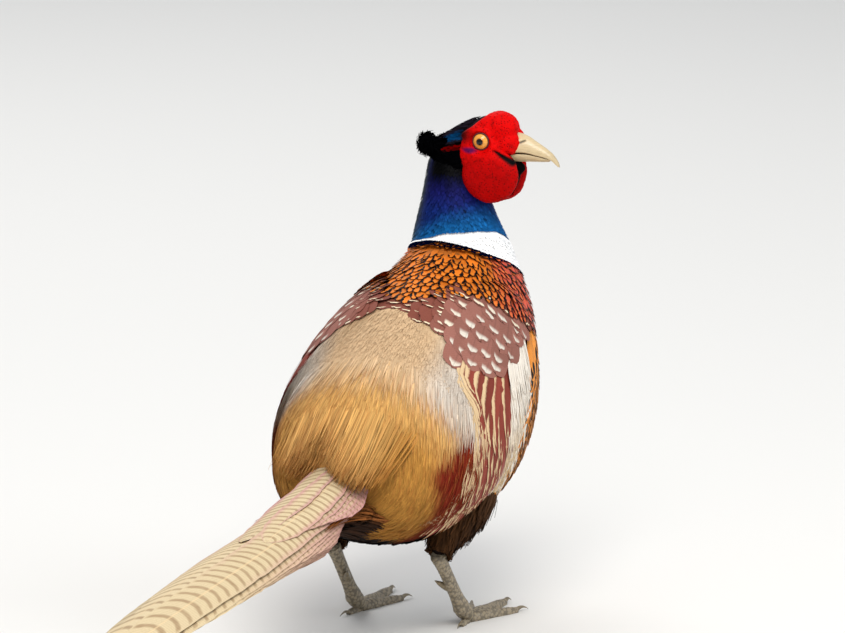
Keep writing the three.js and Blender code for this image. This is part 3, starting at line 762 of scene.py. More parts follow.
def plumage(name, pattern=None, roughness=0.65, barbs=70.0, depth=0.16, specular=0.12):
    """A feather's finish: its ground colour, a pattern over it, and barbs on either side."""
    finish = Finish(name, roughness, Specular_IOR_Level=specular)
    ground, luck = finish.tint("tint")
    x, v = finish.across_and_down()
    colour = pattern(finish, ground, luck, x, v) if pattern else ground
    slant = ((v - x.size() * 0.22) * barbs + luck * 6).wave()
    shaft = x.size().step(0.02, 0.1)
    shade = (1 - depth * slant) * (0.86 + 0.14 * shaft)
    finish.feed("Base Color", finish.dim(colour, shade))
    return finish.bump(slant * 0.7 + shaft * 0.3, 0.3, 0.0002)


def rim(x, v, start):
    """0 down a feather's middle to 1 at its edge and tip."""
    over = ((v - start) / (1 - start)).math("MAXIMUM", 0.0)
    return (x * x + over * over) ** 0.5


def mantle_pattern(finish, ground, luck, x, v):
    """Orange, with a long black blotch on either side above an orange tip, and a painted highlight
    of amber gold on the tip's middle.
    """
    fray = finish.grain(900, 2) * 0.36 - 0.18
    blotch = (x.size() + fray - (v - 0.79).size() * 1.5).step(0.36, 0.5) * v.step(0.5, 0.62)
    # A painted highlight of amber gold in the middle of the tip.
    painted_highlight = (x.size() * 1.4 + (v - 0.9).size() * 3).step(0.9, 0.1)
    return finish.layered(ground, (painted_highlight * 0.45, "painted_highlight_gold"), (v.step(0.5, 0.1) * 0.6, "brown"),
                          (blotch, "soot"))


MARK_PLACE, MARK_SCALE, MARK_TIP = 0.89, 2.9, 0.16


def scapular_pattern(finish, ground, luck, x, v):
    """Mauve-brown with a cream mark, from a thin crescent to a shield as its fill grows."""
    fill, size, _, _ = finish.parts("marks")
    wobble = finish.grain(420, 2) * 0.06 - 0.03
    across = x / (0.44 + size * 0.3 - fill * 0.14)
    away = across.size()
    down = (v - MARK_PLACE) * MARK_SCALE + wobble
    curve = across * across * (0.08 + fill * 0.2)
    thick = (0.19 + fill * 0.44) * (0.5 + 0.5 * size)
    low = MARK_TIP - curve
    high = MARK_TIP - thick - curve * (1 - fill * 0.7)
    mark = ((down - high).step(-0.05, 0.05 + fill * 0.3) * (low - down).step(-0.04, 0.06)
            * away.step(1.05, 0.8))
    line = ((down - low).step(-0.04, 0.04) * (down - low).step(0.2, 0.1)
            * away.step(1.2, 0.9))
    mottle = finish.grain(1700, 3).step(0.35, 0.65)
    return finish.layered(
        ground, (0.24 * mottle, "brown"), (line * (0.75 - 0.55 * fill), "soot"),
        (mark * 0.95, finish.blend(fill, "cream", "pearl")))


def fringed_pattern(finish, ground, luck, x, v):
    """A coloured centre with a soft dark line and a pale edge."""
    fray = finish.grain(1100, 3, stretch=(1, 1, 0.13)) - 0.5
    pale = x * 0.6 + x.size() * 0.4 + fray * 0.45 + (v - 0.93).math("MAXIMUM", 0.0) * 4.0
    mottle = finish.grain(1300, 3).step(0.35, 0.65)
    return finish.layered(
        ground, (mottle * 0.1, "brown"),
        (pale.step(0.1, 0.25) * pale.step(0.45, 0.3) * 0.25, "soot"),
        (pale.step(0.16, 0.6) * 0.9, "buff"))


def streaked_pattern(finish, ground, luck, x, v):
    """Pale, with faint streaks along the shaft."""
    streak = (x * 7 + luck * 5 + finish.grain(200, 2) * 3).wave()
    return finish.blend(streak.step(0.5, 1.0) * 0.25, ground, "mauve")


def breast_pattern(finish, ground, luck, x, v):
    """Maroon, brighter in the middle, with a dark border."""
    border = rim(x, v, 0.5) + finish.grain(1100, 2) * 0.16 - 0.08
    return finish.layered(
        ground, (border.step(0.6, 0.1) * 0.4, "mantle"), (border.step(0.78, 0.94), "soot"))


def spotted_pattern(finish, ground, luck, x, v):
    """Orange, with a round dark spot near the tip."""
    spot = (x * x * 1.8 + ((v - 0.86) * 3.8) ** 2 + finish.grain(900, 2) * 0.2).step(0.62, 0.46)
    return finish.layered(ground, (v.step(0.5, 0.2) * 0.25, "brown"), (spot, "soot"))


def wavy_pattern(finish, ground, luck, x, v):
    """Fine wavy cross-lines over silky barbs."""
    ripple = finish.grain(760, 3, stretch=(0.5, 0.5, 2.0)).step(0.46, 0.68)
    return finish.layered(
        ground, (ripple * 0.22, "brown"), (v.step(0.4, 0.1) * 0.15, "brown"))


def plume_pattern(finish, ground, luck, x, v):
    """Loose plumes, some of them tipped with rufous."""
    return finish.blend(v.step(0.6, 1.0) * luck.step(0.4, 0.95) * 0.6, ground, "rufous")


def quill_pattern(finish, ground, luck, x, v):
    """Wing quills with pale bars."""
    bars = (v * 60 + x.size() * 4 + finish.grain(300, 2) * 3).wave().step(0.6, 0.85)
    return finish.blend(bars * 0.75, ground, "buff")


FEATHERS = {
    "streaked": plumage("pale_covert_feathers", streaked_pattern, barbs=30, depth=0.06),
    "belly": plumage("belly_feathers", roughness=0.8, specular=0.08),
    "velvet": plumage("velvet_head_feathers", roughness=0.75, barbs=12, depth=0.1, specular=0.0),
    "gloss": plumage("glossy_neck_feathers", roughness=0.5, barbs=12, depth=0.1, specular=0.04),
    "white": plumage("white_collar_feathers", roughness=0.8, barbs=12, depth=0.04),
    "mantle": plumage("mantle_feathers", mantle_pattern, 0.6),
    "scapular": plumage("scapular_feathers", scapular_pattern, 0.7, barbs=110, depth=0.08),
    "fringed": plumage("long_wing_feathers", fringed_pattern, 0.65, barbs=240, depth=0.1),
    "breast": plumage("breast_feathers", breast_pattern, 0.55, specular=0.2),
    "spotted": plumage("flank_feathers", spotted_pattern, 0.6, barbs=110),
    "wavy": plumage("back_feathers", wavy_pattern, 0.8, barbs=12, depth=0.04),
    "plume": plumage("rump_plumes", plume_pattern, 0.8, barbs=8, depth=0.03),
    "quill": plumage("wing_quills", quill_pattern, 0.6, barbs=260),
}


# ---- Skin under the coat ----

def closed_shell(ground, rings, count, low, high, lift):
    place = np.linspace(low, high, rings)[:, None]
    turn = (np.arange(count) * 2 * math.pi / count)[None]
    point, normal, _, _ = ground.frame(place, turn)
    rise = lift + 0.9 * ground.lift(*np.broadcast_arrays(place, turn))
    return loft(point + normal * np.asarray(rise)[..., None])


def skin_samples():
    """Places on every ground with the colour of the coat there."""
    points, colours = [], []
    for ground, low, high, shade in (
            (body, 0, NECK_TOP, coat_colour), (head, 0, 8, head_colour),
            (throat, 0.02, 0.98, plain("black")),
            *((thighs[side], 0, 1, plain("belly")) for side, _ in SIDES)):
        place, turn = np.meshgrid(np.linspace(low, high, 150), np.linspace(-math.pi, math.pi, 120))
        points.append(ground.at(place, turn).reshape(-1, 3))
        colours.append(shade(place, turn).reshape(-1, 3))
    return np.concatenate(points), np.concatenate(colours)


down = Finish("downy_skin", 0.85, Specular_IOR_Level=0.05)
down_colour, _ = down.tint("coat")
down_grain = down.grain(900, 3, stretch=(1, 2.4, 1))
# The skin takes the coat's colour dimmed by a downy grain: darker down, and painted shade for the
# gaps between feathers.
down.feed("Base Color", down.dim(down_colour, 0.45 + 0.5 * down_grain))
down.bump(down_grain, 0.6, 0.0008)

# Each ground with its rings, the points of a ring, its first and last place, and its lift.
SHELLS = (
    (body, 90, 96, 0, NECK_TOP, -2.2), (head, 40, 48, 0, 8, -0.9), (throat, 24, 32, 0, 1, -0.8),
    (chin, 20, 24, 0, 1, -0.7), (thighs[RIGHT], 20, 32, 0, 1, -1.6),
    (thighs[LEFT], 20, 32, 0, 1, -1.6))
SKIN_VOXEL = 0.0018
skin = one_skin([mesh_piece(f"shell_{n}", *closed_shell(*shell), down)
                 for n, shell in enumerate(SHELLS)], "skin", SKIN_VOXEL, 8)
samples, sample_colours = skin_samples()
tree = kdtree.KDTree(len(samples))
for n, point in enumerate(samples.tolist()):
    tree.insert(point, n)
tree.balance()
nearest = [tree.find(p)[1] for p in mesh_points(skin).tolist()]
add_tint(skin.data, "coat", np.concatenate(
    [sample_colours[nearest], np.ones((len(nearest), 1))], 1))
dress(skin, down, (
    "torso", "collar", "neck", "head", "thigh_right", "thigh_left"))


# ---- Coat of the body ----

def atlas(count):
    """Places and size of square patches on a sheet, one for each large feather."""
    row = math.ceil(math.sqrt(count))
    n = np.arange(count)
    return {"unwrap": np.stack([(n % row + 0.5) / row, (n // row + 0.5) / row], -1),
            "patch": 0.92 / row}


def tip_place(length, place, turn):
    """Where a feather that lies straight back has its tip."""
    for _ in range(4):
        place = place - length / 4 / body.frame(place, turn)[2]
    return place


def ending(length, test):
    """The test made where feathers of that length have their tips."""
    return lambda place, turn: test(tip_place(length, place, turn), turn)


def below_collar(place, turn):
    """Millimetres of skin from the collar down to a place."""
    return (collar_low(turn) - place) * body.frame(place, turn)[2]


def tract(test):
    """A test of place, turn and degrees from the back line, as one of place and turn."""
    return lambda place, turn: test(place, turn, side_of(turn))


# Millimetres of dark border below the collar.
border_width = by_side([0, 35, 60, 90], [8, 5.5, 2.4, 1.8])
in_mantle = tract(lambda p, t, side: (side < 70) & (p > mantle_edge(side) - 0.12) & (
    below_collar(p, t) > border_width(side)))
in_breast = tract(lambda p, t, side: (side >= 58) & (p > 7.4) & (
    below_collar(p, t) > border_width(side)))
in_border = tract(lambda p, t, side: (below_collar(p, t) > 0.6) & (
    below_collar(p, t) < border_width(side)))
in_scapulars = tract(lambda p, t, side: (side < 66) & (p > scapular_edge(side)) & (
    p < mantle_edge(side) - 0.02))
in_flank = tract(lambda p, t, side: (side > 72) & (side < 138) & (p > 3.4) & (p < 7.6) & (
    (p > wing_front(side) - 0.1) | (side > 112)))
in_belly = tract(lambda p, t, side: ((side > 128) & (p < 7.4)) | ((side > 116) & (p < 3.6)))
in_back = tract(lambda p, t, side: (p > 3.1) & (side < 74) & (
    p < np.minimum(scapular_edge(side) + 0.02, wing_rear(side) + 0.25)))
in_rump = tract(lambda p, t, side: (p > hem(side) + 0.25) & (p < 4.3) & (side < 120) & (
    (side < 70) | (p < wing_rear(side) + 0.5)))


def slope(side_turns, degrees):
    """A heading that steepens with the turn away from the back."""
    return lambda place, turn: np.radians(np.interp(side_of(turn), side_turns, degrees))


SHORTEST = 2.0


def spread(roots, low, high):
    return rng.uniform(low, high, len(roots[0]))


def up_to(end, roots, low, high):
    """Random lengths, cut short where a feather would pass the end of its tract."""
    room = (roots[0] - end(roots[1])) * body.frame(*roots)[2]
    return np.clip(spread(roots, low, high), SHORTEST, np.maximum(room, SHORTEST))


roots = body.scatter(11, NECK_TOP, ending(1.6, lambda p, t: p > collar_high(t)), 1.45)
coat("neck_coat", roots, "gloss", up_to(collar_high, roots, 5.5, 7.5), 2.3,
     (neck_colour, 0.2), root=-1.2, tip=0.7, slot="neck_feathers", **TUFTED)

roots = body.scatter(10.2, 13, lambda p, t: (
    p < collar_high(t) + 0.1) & ending(1.6, lambda p, t: p > collar_low(t))(p, t), 1.3)
coat("collar_coat", roots, "white", up_to(collar_low, roots, 5.5, 7), 2.4,
     ("white", 0.02), root=-0.9, tip=1.2, slot="collar_feathers", **TUFTED)

roots = body.scatter(8, 12.6, ending(2.6, in_border), 1.4)
coat("collar_border", roots, "velvet", (3, 3.8), 2.2, (INK["blue"] * 0.12, 0.2), root=-1.0,
     tip=1.4, **TUFTED)


def mantle_colour(place, turn):
    return fade("mantle", "breast", smooth(36, 54, side_of(turn)) * 0.9)


for name, low, high, spacing, length in (
        ("upper_mantle_coat", 8.3, 12.4, 3.1, 12), ("lower_mantle_coat", 5, 8.6, 3.8, 14)):
    roots = body.scatter(low, high, ending(length * 0.9, in_mantle), spacing)
    size = length * spread(roots, 0.9, 1.1) * np.interp(roots[0], [8.3, 11], [1, 0.85])
    coat(name, roots, "mantle", size, size * 0.46, (mantle_colour, 0.12),
         slope([0, 70], [0, 14]), tip=0.9, ragged=0.03,
         root=np.interp(below_collar(*roots), [0, 6], [-4.5, -1.4]), **BROAD)

roots = body.scatter(6, 11.4, ending(11, in_breast), 3.9)
size = np.interp(roots[0], [7, 9, 10.8], [18, 15, 12]) * spread(roots, 0.9, 1.1)
coat("breast_coat", roots, "breast", size, size * 0.5, ("breast", 0.14), 0.1, root=-1.4,
     tip=0.9, ragged=0.02, **BROAD)

for name, low, high, spacing, squash, length, width, least in (
        ("middle_scapular_coat", 0, 26, 3.7, 0.33, 16, 15, 0.7),
        ("scapular_coat", 26, 66, 8.2, 1, 26, 18, 0.5)):
    roots = body.scatter(4.6, 9.4, ending(length * 0.95, lambda p, t: in_scapulars(p, t) & (
        side_of(t) >= low) & (side_of(t) < high)), spacing, squash)
    place, turn = roots
    side = side_of(turn)
    inner = (mantle_edge(side) - tip_place(length * 0.95, place, turn)) / 1.1
    fill = np.clip(smooth(0, 0.5, inner) * smooth(18, 32, side) + spread(roots, -0.12, 0.15), 0, 1)
    marks = np.stack([fill, spread(roots, least, 1.1) * (1 - 0.5 * smooth(46, 60, side)),
                      fill, fill], -1)
    coat(name, roots, "scapular", (length - 2, length + 2), (width - 1, width + 1),
         (fade("scapular", "mauve", fill), 0.07),
         slope([0, 30, 66], [0, 6, 14]), outline=ROUND, root=-2.4 + 2.4 * smooth(0.1, 0.9, inner),
         tip=0.5, across=9, ragged=0.025, thick=0.12, cup=width / 200, marks=marks,
         **atlas(len(place)))


def back_colour(place, turn):
    """Grey-buff, silvery on the sides of the lower back, gold on the rump with chestnut sides."""
    side = side_of(turn)
    silver = smooth(22, 46, side) * (1 - smooth(72, 80, side)) * smooth(3.3, 3.75, place)
    return faded(
        "gold", ("back", smooth(3.0, 3.8, place)), ("rufous", 0.2 * (1 - smooth(0.8, 1.8, place))),
        ("ochre", 0.9 * smooth(24, 54, side) * (1 - smooth(2.4, 3.2, place))),
        ("silver", silver * (1 - smooth(4.7, 5.1, place))),
        ("chestnut", smooth(66, 76, side) * smooth(2.2, 2.7, place) * (
            1 - smooth(3.55, 3.8, place))))


def rump_fall(place, turn):
    """Plumes of the rump part down either side of the tail."""
    side = side_of(turn)
    steep = np.interp(side, [0, 20, 50, 100], [0, 16, 36, 62])
    parting = smooth(2.6, 1.4, place) * np.interp(side, [0, 6, 20, 45, 70], [0, 22, 26, 12, 0])
    return np.radians(steep + parting)


for side, word in SIDES:
    roots = body.scatter(3, 6.2, ending(8, lambda p, t: in_back(p, t) & (t * side >= 0)), 1.55)
    coat(f"back_coat_{word}", roots, "wavy", (11, 16), 2.6, (back_colour, 0.05),
         slope([0, 40, 76], [0, 16, 40]), root=-0.9, tip=0.5, curl=(-0.15, 0.15), **LOOSE)
    for top, start, end in (("upper", 2.4, 4.3), ("lower", 0.4, 2.4)):
        roots = body.scatter(start, end, lambda p, t: in_rump(p, t) & (t * side >= 0), 1.35)
        room = np.clip((roots[0] - hem(side_of(roots[1]))) * 25, 7, 60)
        coat(f"{top}_rump_plumes_{word}", roots, "plume", np.minimum(spread(roots, 26, 44), room),
             1.6, (back_colour, 0.14), rump_fall, root=-0.9, tip=1.4, curl=(-0.12, 0.18),
             **LOOSE)

coat("flank_coat", body.scatter(3.2, 9.4, ending(24, in_flank), 5.8), "spotted", (26, 32),
     (11, 13), ("flank", 0.1), np.radians(24), root=-1.4, tip=1.0, ragged=0.02, **BROAD)

roots = body.scatter(0.1, 7.6, in_belly, 4.2)
coat("belly_coat", roots, "belly", (18, 25), 6, ("belly", 0.2), 0.1,
     tip=np.where(roots[0] < 3.8, 0, 0.9), ragged=0.05, curl=(-0.2, 0.2))

for side, word in SIDES:
    coat(f"thigh_coat_{word}", thighs[side].scatter(0.04, 0.96, lambda p, t: p > 0, 1.9), "belly",
         (10, 20), 2.6, (fade("belly", "brown", 0.3), 0.3), ground=thighs[side], outline=HAIR,
         root=-1.2, tip=(0.8, 4), curl=(-0.5, 0.5), across=2)


# ---- Wings ----

def wing_fall(place, turn):
    """Feathers of the wing hang more steeply low down, and follow its rear edge."""
    side = side_of(turn)
    steep = np.interp(side, [50, 62, 70, 80, 95, 110, 125], [14, 30, 48, 60, 72, 82, 86])
    rear = np.interp(side, [42, 58, 63, 74, 93, 105], [80, 76, 50, 50, 56, 68])
    return np.radians(steep + (rear - steep) * (1 - smooth(0.05, 0.5, place - wing_rear(side))))


def pale_front(place, turn):
    """How pale the wing is, from its maroon rear to its cream front."""
    change = np.interp(side_of(turn), [60, 75, 95, 115], [5.5, 5.2, 4.6, 4.4])
    return smooth(-0.25, 0.15, place - change)


QUILLS = 7
# How far back from the wing's front edge its pale coverts are rooted.
covert_depth = by_side([60, 75, 85, 104], [1.1, 0.85, 0.55, 0.3])


def wing_colour(place, turn):
    return fade("tertial", "covert", pale_front(place, turn))


def covert_colour(place, turn):
    return fade("covert", "buff", smooth(78, 104, side_of(turn)))


for side, word in SIDES:
    def rooted(place, turn):
        """Roots ahead of and above the part of the wing that shows."""
        away = side_of(turn)
        front = np.minimum(wing_front(away) + 0.05, np.interp(away, [40, 62, 66], [5.3, 5.9, 7]))
        return (turn * side > 0) & (away > 42) & (away < 104) & (place < front) & (
            place > wing_rear(away) + 0.12)

    turns = np.radians(np.linspace(100, 114, QUILLS)) * side
    coat(f"wing_quills_{word}", (np.linspace(5.2, 4.2, QUILLS), turns), "quill",
         np.linspace(84, 66, QUILLS), 13, ("brown", 0.1), math.radians(10),
         outline=POINTED, root=-0.6, tip=0.2, hold=0.4, across=7, slot="wing_feathers",
         replaces=(f"wing_{word}",), **atlas(QUILLS))
    roots = body.scatter(3.2, 6.8, rooted, 4.3)
    room = np.interp(side_of(roots[1]), [60, 104], [1, 0.72])
    coat(f"long_wing_feathers_{word}", roots, "fringed", spread(roots, 45, 68) * room,
         (8, 11), (wing_colour, 0.1), wing_fall, outline=POINTED, root=-1.2,
         tip=1.0, hold=0.1, across=5, scruff=0.1, ragged=0.02, thick=0.15, slot="wing_feathers",
         **atlas(len(roots[0])))
    roots = body.scatter(4.6, 7.2, lambda p, t: rooted(p, t) & (side_of(t) > 60) & (
        p > wing_front(side_of(t)) - covert_depth(side_of(t))), 1.9)
    coat(f"wing_coverts_{word}", roots, "streaked", (20, 32), 3, (covert_colour, 0.07), wing_fall,
         root=-0.4, tip=1.3, hold=0.1, scruff=0.1, slot="wing_feathers", **LOOSE)


# ---- Tail ----

# Lengths of the feathers on either side, from the middle pair outward.
TAIL_LENGTHS = (432, 380, 320, 266, 218, 180, 152, 132, 117)
TAIL_SHAPE = np.array([(0, 0.4), (0.1, 0.85), (0.35, 1), (0.65, 0.84), (0.88, 0.5), (1, 0.08)])
COVERT_SHAPE = np.array([(0, 0.5), (0.3, 0.8), (0.55, 1), (0.8, 0.8), (0.94, 0.42), (1, 0.06)])
TAIL_INSIDE = 24
TAIL_X, TAIL_Z, TAIL_FALL, TAIL_SAG = -140, 105, 0.068, 0.00008
# Radians of the bars over 100 mm, and how much wider they stand for each 100 mm.
BAR_RATE, BAR_STRETCH = 620 / 5.2, 14


def tail_at(run, out, lift):
    return np.stack(np.broadcast_arrays(
        TAIL_X - run, out, TAIL_Z - TAIL_FALL * run - TAIL_SAG * run ** 2 + lift), -1)


def tail_finish():
    """Cream, with dark bars, pink fringes, speckles and a pale shaft."""
    finish = Finish("tail_feathers", 0.65, Specular_IOR_Level=0.15)
    ground, luck = finish.tint("tint")
    x, v = finish.across_and_down()
    _, run = finish.across_and_down("run")
    wobble = finish.grain(110, 2) * 0.02 + luck * 0.03
    arc = run - x * x * 0.05 + wobble
    bars = (arc * (BAR_RATE - run * BAR_STRETCH)).wave().step(0.5, 1.0) * x.size().step(1.0, 0.8)
    bars = bars * v.step(1.0, 0.93)
    fringe = (x.size() + finish.grain(260, 2) * 0.3).step(0.78, 1.15) * run.step(2.6, 0.3)
    speckle = finish.grain(1500, 3).step(0.5, 0.72) * 0.2
    shaft = x.size().step(0.07, 0.03)
    colour = finish.layered(
        ground, (fringe * 0.8, "pink"), (speckle, "brown"),
        (bars * (0.35 + 0.5 * finish.grain(160, 2)), "bar"), (shaft * 0.5, "buff"))
    slant = (run * 260 - x.size() * 8).wave()
    finish.feed("Base Color", finish.dim(colour, 1 - 0.1 * slant))
    return finish.bump(slant * 0.5 + shaft, 0.3, 0.00025)


def vane_piece(name, centre, normal, half, shares, colour, **dressing):
    """Long feathers side by side, each with a strip of the sheet to itself."""
    count = len(centre)
    unwrap = np.stack([(np.arange(count) + 0.5) / count, np.full(count, 0.5)], -1)
    feather_mesh(name, np.stack(centre), np.stack(normal), np.stack(half), tail_look,
                 shaded(colour, count, 0.05), unwrap, (0.9 / count, 0.97), shares, across=9,
                 cup=0.08, thick=0.5, ruled=True, slot="tail_feathers", **dressing)


def leaning(lean, cuts):
    """A normal that leans to one side, once for each cut."""
    return np.tile([0, math.sin(lean), math.cos(lean)], (cuts, 1))


tail_look = tail_finish()
s = np.linspace(0, 1, 60)
centre, normal, half = [], [], []
for n, length in reversed(list(enumerate(TAIL_LENGTHS))):
    for side, _ in SIDES:
        run = s * (length + TAIL_INSIDE) - TAIL_INSIDE
        share = np.clip(run / length, 0, 1)
        wide = np.interp(np.maximum(share, 0.1), *TAIL_SHAPE.T) * (28 - 1.3 * n)
        wide *= smooth(-TAIL_INSIDE - 12 * (n < 3), 16 + (3 if n < 3 else 8) * n, run)
        gap = -1 if n == 0 else 0.5 * n
        out = side * (wide / 2 + gap * smooth(-20, 0, run) + math.tan(math.radians(0.9 * n)) * run)
        centre.append(tail_at(run, out, 2.1 if n == 0 and side == RIGHT else -1.7 * n))
        normal.append(leaning(side * math.radians(18), len(s)))
        half.append(wide / 2)
vane_piece("long_tail_feathers", centre, normal, half, s, "tail", scruff=0.02,
           replaces=("tail",))


# ---- Round the root of the tail ----

# Coverts leave the rump and settle on the tail, others close it from below, and plumes of the
# rump hang over its root.

def pulls(s):
    """How strongly each of four corners pulls a bent path, at shares of the way."""
    return np.stack([(1 - s) ** 3, 3 * s * (1 - s) ** 2, 3 * s ** 2 * (1 - s), s ** 3], -1)


def leaving_body(s, turn, place, run, out, lift, sunk, pull=16, wide=0.85):
    """A path from the rump that bends into the line of the tail, and the normals on it."""
    point, outward, _, _ = body.frame(np.array(place), np.array(turn))
    back = unit(body.at(np.array(place - 0.1), np.array(turn)) - point)
    end = tail_at(run, out, lift)
    before = tail_at(run - 34, out * wide, lift)
    path = pulls(s) @ np.stack([point - outward * sunk, point + back * pull, before, end])
    facing = outward * (1 - s)[:, None] + leaning(math.copysign(0.25, out), 1) * s[:, None]
    return path, facing


# Degrees from the back line, distance from the middle, how wide the path swings, where it ends,
# the width, and the place of the root.
s = np.linspace(0, 1, 26)
centre, normal, half, colours = [], [], [], []
for turn, out, wide, run, width, place in (
        (45, 19, 1.7, 52, 13, 0.95), (39, 19, 1.45, 60, 14, 1.05), (31, 17, 1.3, 68, 17, 1.15),
        (24, 15, 1.1, 80, 20, 1.2), (17, 12, 1, 94, 23, 1.3), (10, 8, 0.9, 116, 27, 1.4)):
    for side, _ in SIDES:
        path, facing = leaving_body(s, side * math.radians(turn), place, run, side * out,
                                    3.8 - turn * 0.13 + (side < 0) * 1.2, sunk=6, wide=wide)
        centre.append(path)
        normal.append(facing)
        half.append(np.interp(s, *COVERT_SHAPE.T) * width / 2)
        colours.append(fade("tail", "pink", (turn - 22) / 34))
vane_piece("upper_tail_coverts", centre, normal, half, s, np.array(colours), scruff=0.03)


def strands(name, paths, facing, half, look, tint, place, turn):
    """Hair-like feathers along given paths."""
    s = np.linspace(0, 1, len(paths[0]))
    feather_mesh(name, np.array(paths), np.array(facing),
                 np.interp(s, *HAIR.T) * np.asarray(half)[:, None], FEATHERS[look], tint,
                 body.unwrap(place, turn), 0.003, s, across=2, thick=0.12,
                 slot="body_feathers")


PARTING = math.radians(12)
count, s = 2200, np.linspace(0, 1, 9)
turns = np.radians(rng.triangular(-95, -20, 90, count))
places = rng.uniform(1.1, 3.1, count)
over = np.interp(np.degrees(turns), [-90, -50, -25, 0, 12, 30, 50, 90],
                 [14, 22, 20, 8, -4, 8, 14, 8]) + rng.uniform(-6, 6, count)
paths, facing = [], []
for turn, place, ahead in zip(turns, places, over):
    out = 36 * math.sin(turn) + rng.uniform(-6, 6)
    share = np.clip(((place - 0.95) * 20 + ahead) / ((place - 0.95) * 20 + 70), 0.12, 0.7)
    path, outward = leaving_body(s * share, PARTING + 0.6 * (turn - PARTING), place, 70, out * 0.7,
                                 7 - 0.22 * abs(out) + rng.uniform(-2, 1), sunk=0.3, wide=1.5)
    paths.append(path)
    facing.append(outward)
colours = fade(back_colour(np.maximum(places - 0.6, 0.3), turns * 0.6), "rufous",
               rng.uniform(-0.1, 0.4, count))
strands("rump_hem_plumes", paths, facing, np.full(count, 0.5), "plume",
        shaded(colours, count, 0.18), places, turns)

count, s = 1500, np.linspace(0, 1, 12)
sides, away = rng.choice([-1, 1], count), rng.uniform(0, 1, count)
turns = sides * np.radians(179 - 54 * away)
places = rng.uniform(0.8, 2.2, count) - 0.6 * away
paths, facing = [], []
for turn, place, out in zip(turns, places, sides * 25 * away):
    path, outward = leaving_body(
        s, turn, place, rng.uniform(20, 62), out, -12 + 0.35 * abs(out) + rng.uniform(-1.5, 1.5),
        pull=14, sunk=0.6)
    paths.append(path)
    facing.append(outward * np.where(outward[:, 2:] > 0, -1, 1))
strands("under_tail_coverts", paths, facing, rng.uniform(0.4, 0.8, count), "belly",
        shaded(fade("belly", "rufous", 0.06 + 0.6 * smooth(0.7, 1, away)), count, 0.3),
        places, turns)


# ---- Head ----

# The bare face as balls that overlap: middle and half sizes, forward, left and up. The first is
# the brow, and each side has a lobe of its own.
WATTLE = (((8.2, 4.8, 7.6), (12.7, 7.5, 9.7)), ((-3, 9, 3.2), (12, 6.5, 7.6)),
          ((1.8, 6, 8.2), (11.6, 6.5, 6.8)), ((13.5, 5.5, -1.5), (8.5, 6.5, 8.5)),
          ((-1.5, 11.5, -8), (14.5, 6, 13)))
LOBE = {RIGHT: ((5.7, 12.5, -21.5), (18.2, 5.4, 17.3)), LEFT: ((4, 12.5, -23), (17, 5.4, 19))}
# Where the red face meets the crown: forward and up from the middle of the head.
BROW = np.array([
    (-18, -5), (-16, -1.9), (-12.7, 4.1), (-7.4, 7.7), (0.6, 14.7), (4.6, 18.1), (9, 24)])
# The far brow sits a little lower and further back, as the near one hides it from the front.
BROW_SHIFT = {RIGHT: (0, 0, 0), LEFT: (-2.2, 0, -1.3)}
GAPE = np.array([(8, -5), (21, -12.5)])
EYE_HOLE, EYE_RIM = 5.3, 9
LID_RING, LID_THICK, LID_OUT = 5.15, 0.6, 3.75
FACE_VOXEL = 0.0006


def face_bulbs(side):
    brow, *rest = WATTLE
    return ((tuple(np.add(brow[0], BROW_SHIFT[side])), brow[1]), *rest, LOBE[side])


def over_brow(p):
    return p[:, 2] - np.interp(p[:, 0], *BROW.T)


def off_wattles(point):
    """Whether points of the head lie outside the bare face."""
    p = to_head(point)
    clear = np.hypot(p[:, 0], p[:, 2]) > EYE_RIM
    for side, _ in SIDES:
        for at, size in face_bulbs(side):
            d = (p * (1, side, 1) - at) / (np.array(size) + 0.8)
            clear &= (d ** 2).sum(-1) > 1
    return clear | (over_brow(p) > 0.2)


def bare(roots, ground):
    """The roots that keep off the face and the bill."""
    clear = off_wattles(ground.at(*roots)) & (to_head(ground.at(*roots))[:, 0] < 19)
    return roots[0][clear], roots[1][clear]


for ground, word, spacing, colour in (
        (head, "head", 1.3, head_colour), (throat, "throat", 1.5, plain("black")),
        (chin, "chin", 1.4, plain("black"))):
    roots = bare(ground.scatter(
        0.01 * ground.last, 0.985 * ground.last,
        lambda p, t: (ground is head) | (side_of(t) > 40), spacing), ground)
    coat(f"{word}_coat", roots, "velvet", (4, 5.5), 1.9, (colour, 0.2), ground=ground, root=-0.7,
         tip=0.6, slot="head_feathers", **TUFTED)


def away_from(middle, count):
    """Random directions, drawn to one side by the middle."""
    return unit(rng.normal(size=(count, 3)) + middle)


# Each ear tuft is a puff of locks that leave one point and curl round a ball.
for side, word in SIDES:
    base, middle, reach, locks = {
        RIGHT: ((-24, 13, -4.5), (-35, 15.5, -3.4), 8.9, 440),
        LEFT: ((-24, 12.5, -7), (-35, 15, -8.5), 6.6, 300)}[side]
    way = away_from((-0.2, 0, 0), locks)
    swirl = np.cross(way, away_from(0, locks))
    start = base + rng.normal(0, (1.0, 0.8, 2.2), (locks, 3))
    depth = reach * rng.uniform(0.75, 1, (locks, 1)) * (1, 1, 1.14)
    corners = (start, middle + way * 2, middle + way * depth,
               middle + (way * 0.55 + swirl * 0.8) * depth)
    s = np.linspace(0, 1, 9)
    path = sum(pulls(s)[None, :, k, None] * corner[:, None] for k, corner in enumerate(corners))
    half = 0.62 * np.interp(s, [0, 0.5, 0.85, 1], [0.8, 1, 0.9, 0.2]) * np.ones((locks, 1))
    outward = from_head(way * (1, side, 1)) - HEAD_AT
    facing = outward[:, None] + 0.01 * rng.normal(size=path.shape)
    feather_mesh(f"ear_plumes_{word}", from_head(path * (1, side, 1)), facing, half,
                 FEATHERS["velvet"], shaded(INK["black"] * 1.2, locks, 0.3),
                 rng.uniform(0.02, 0.98, (locks, 2)), 0.003, s, across=2, thick=0.2,
                 slot="ear_feathers", replaces=(f"ear_tuft_{word}",))


# ---- Bare face ----

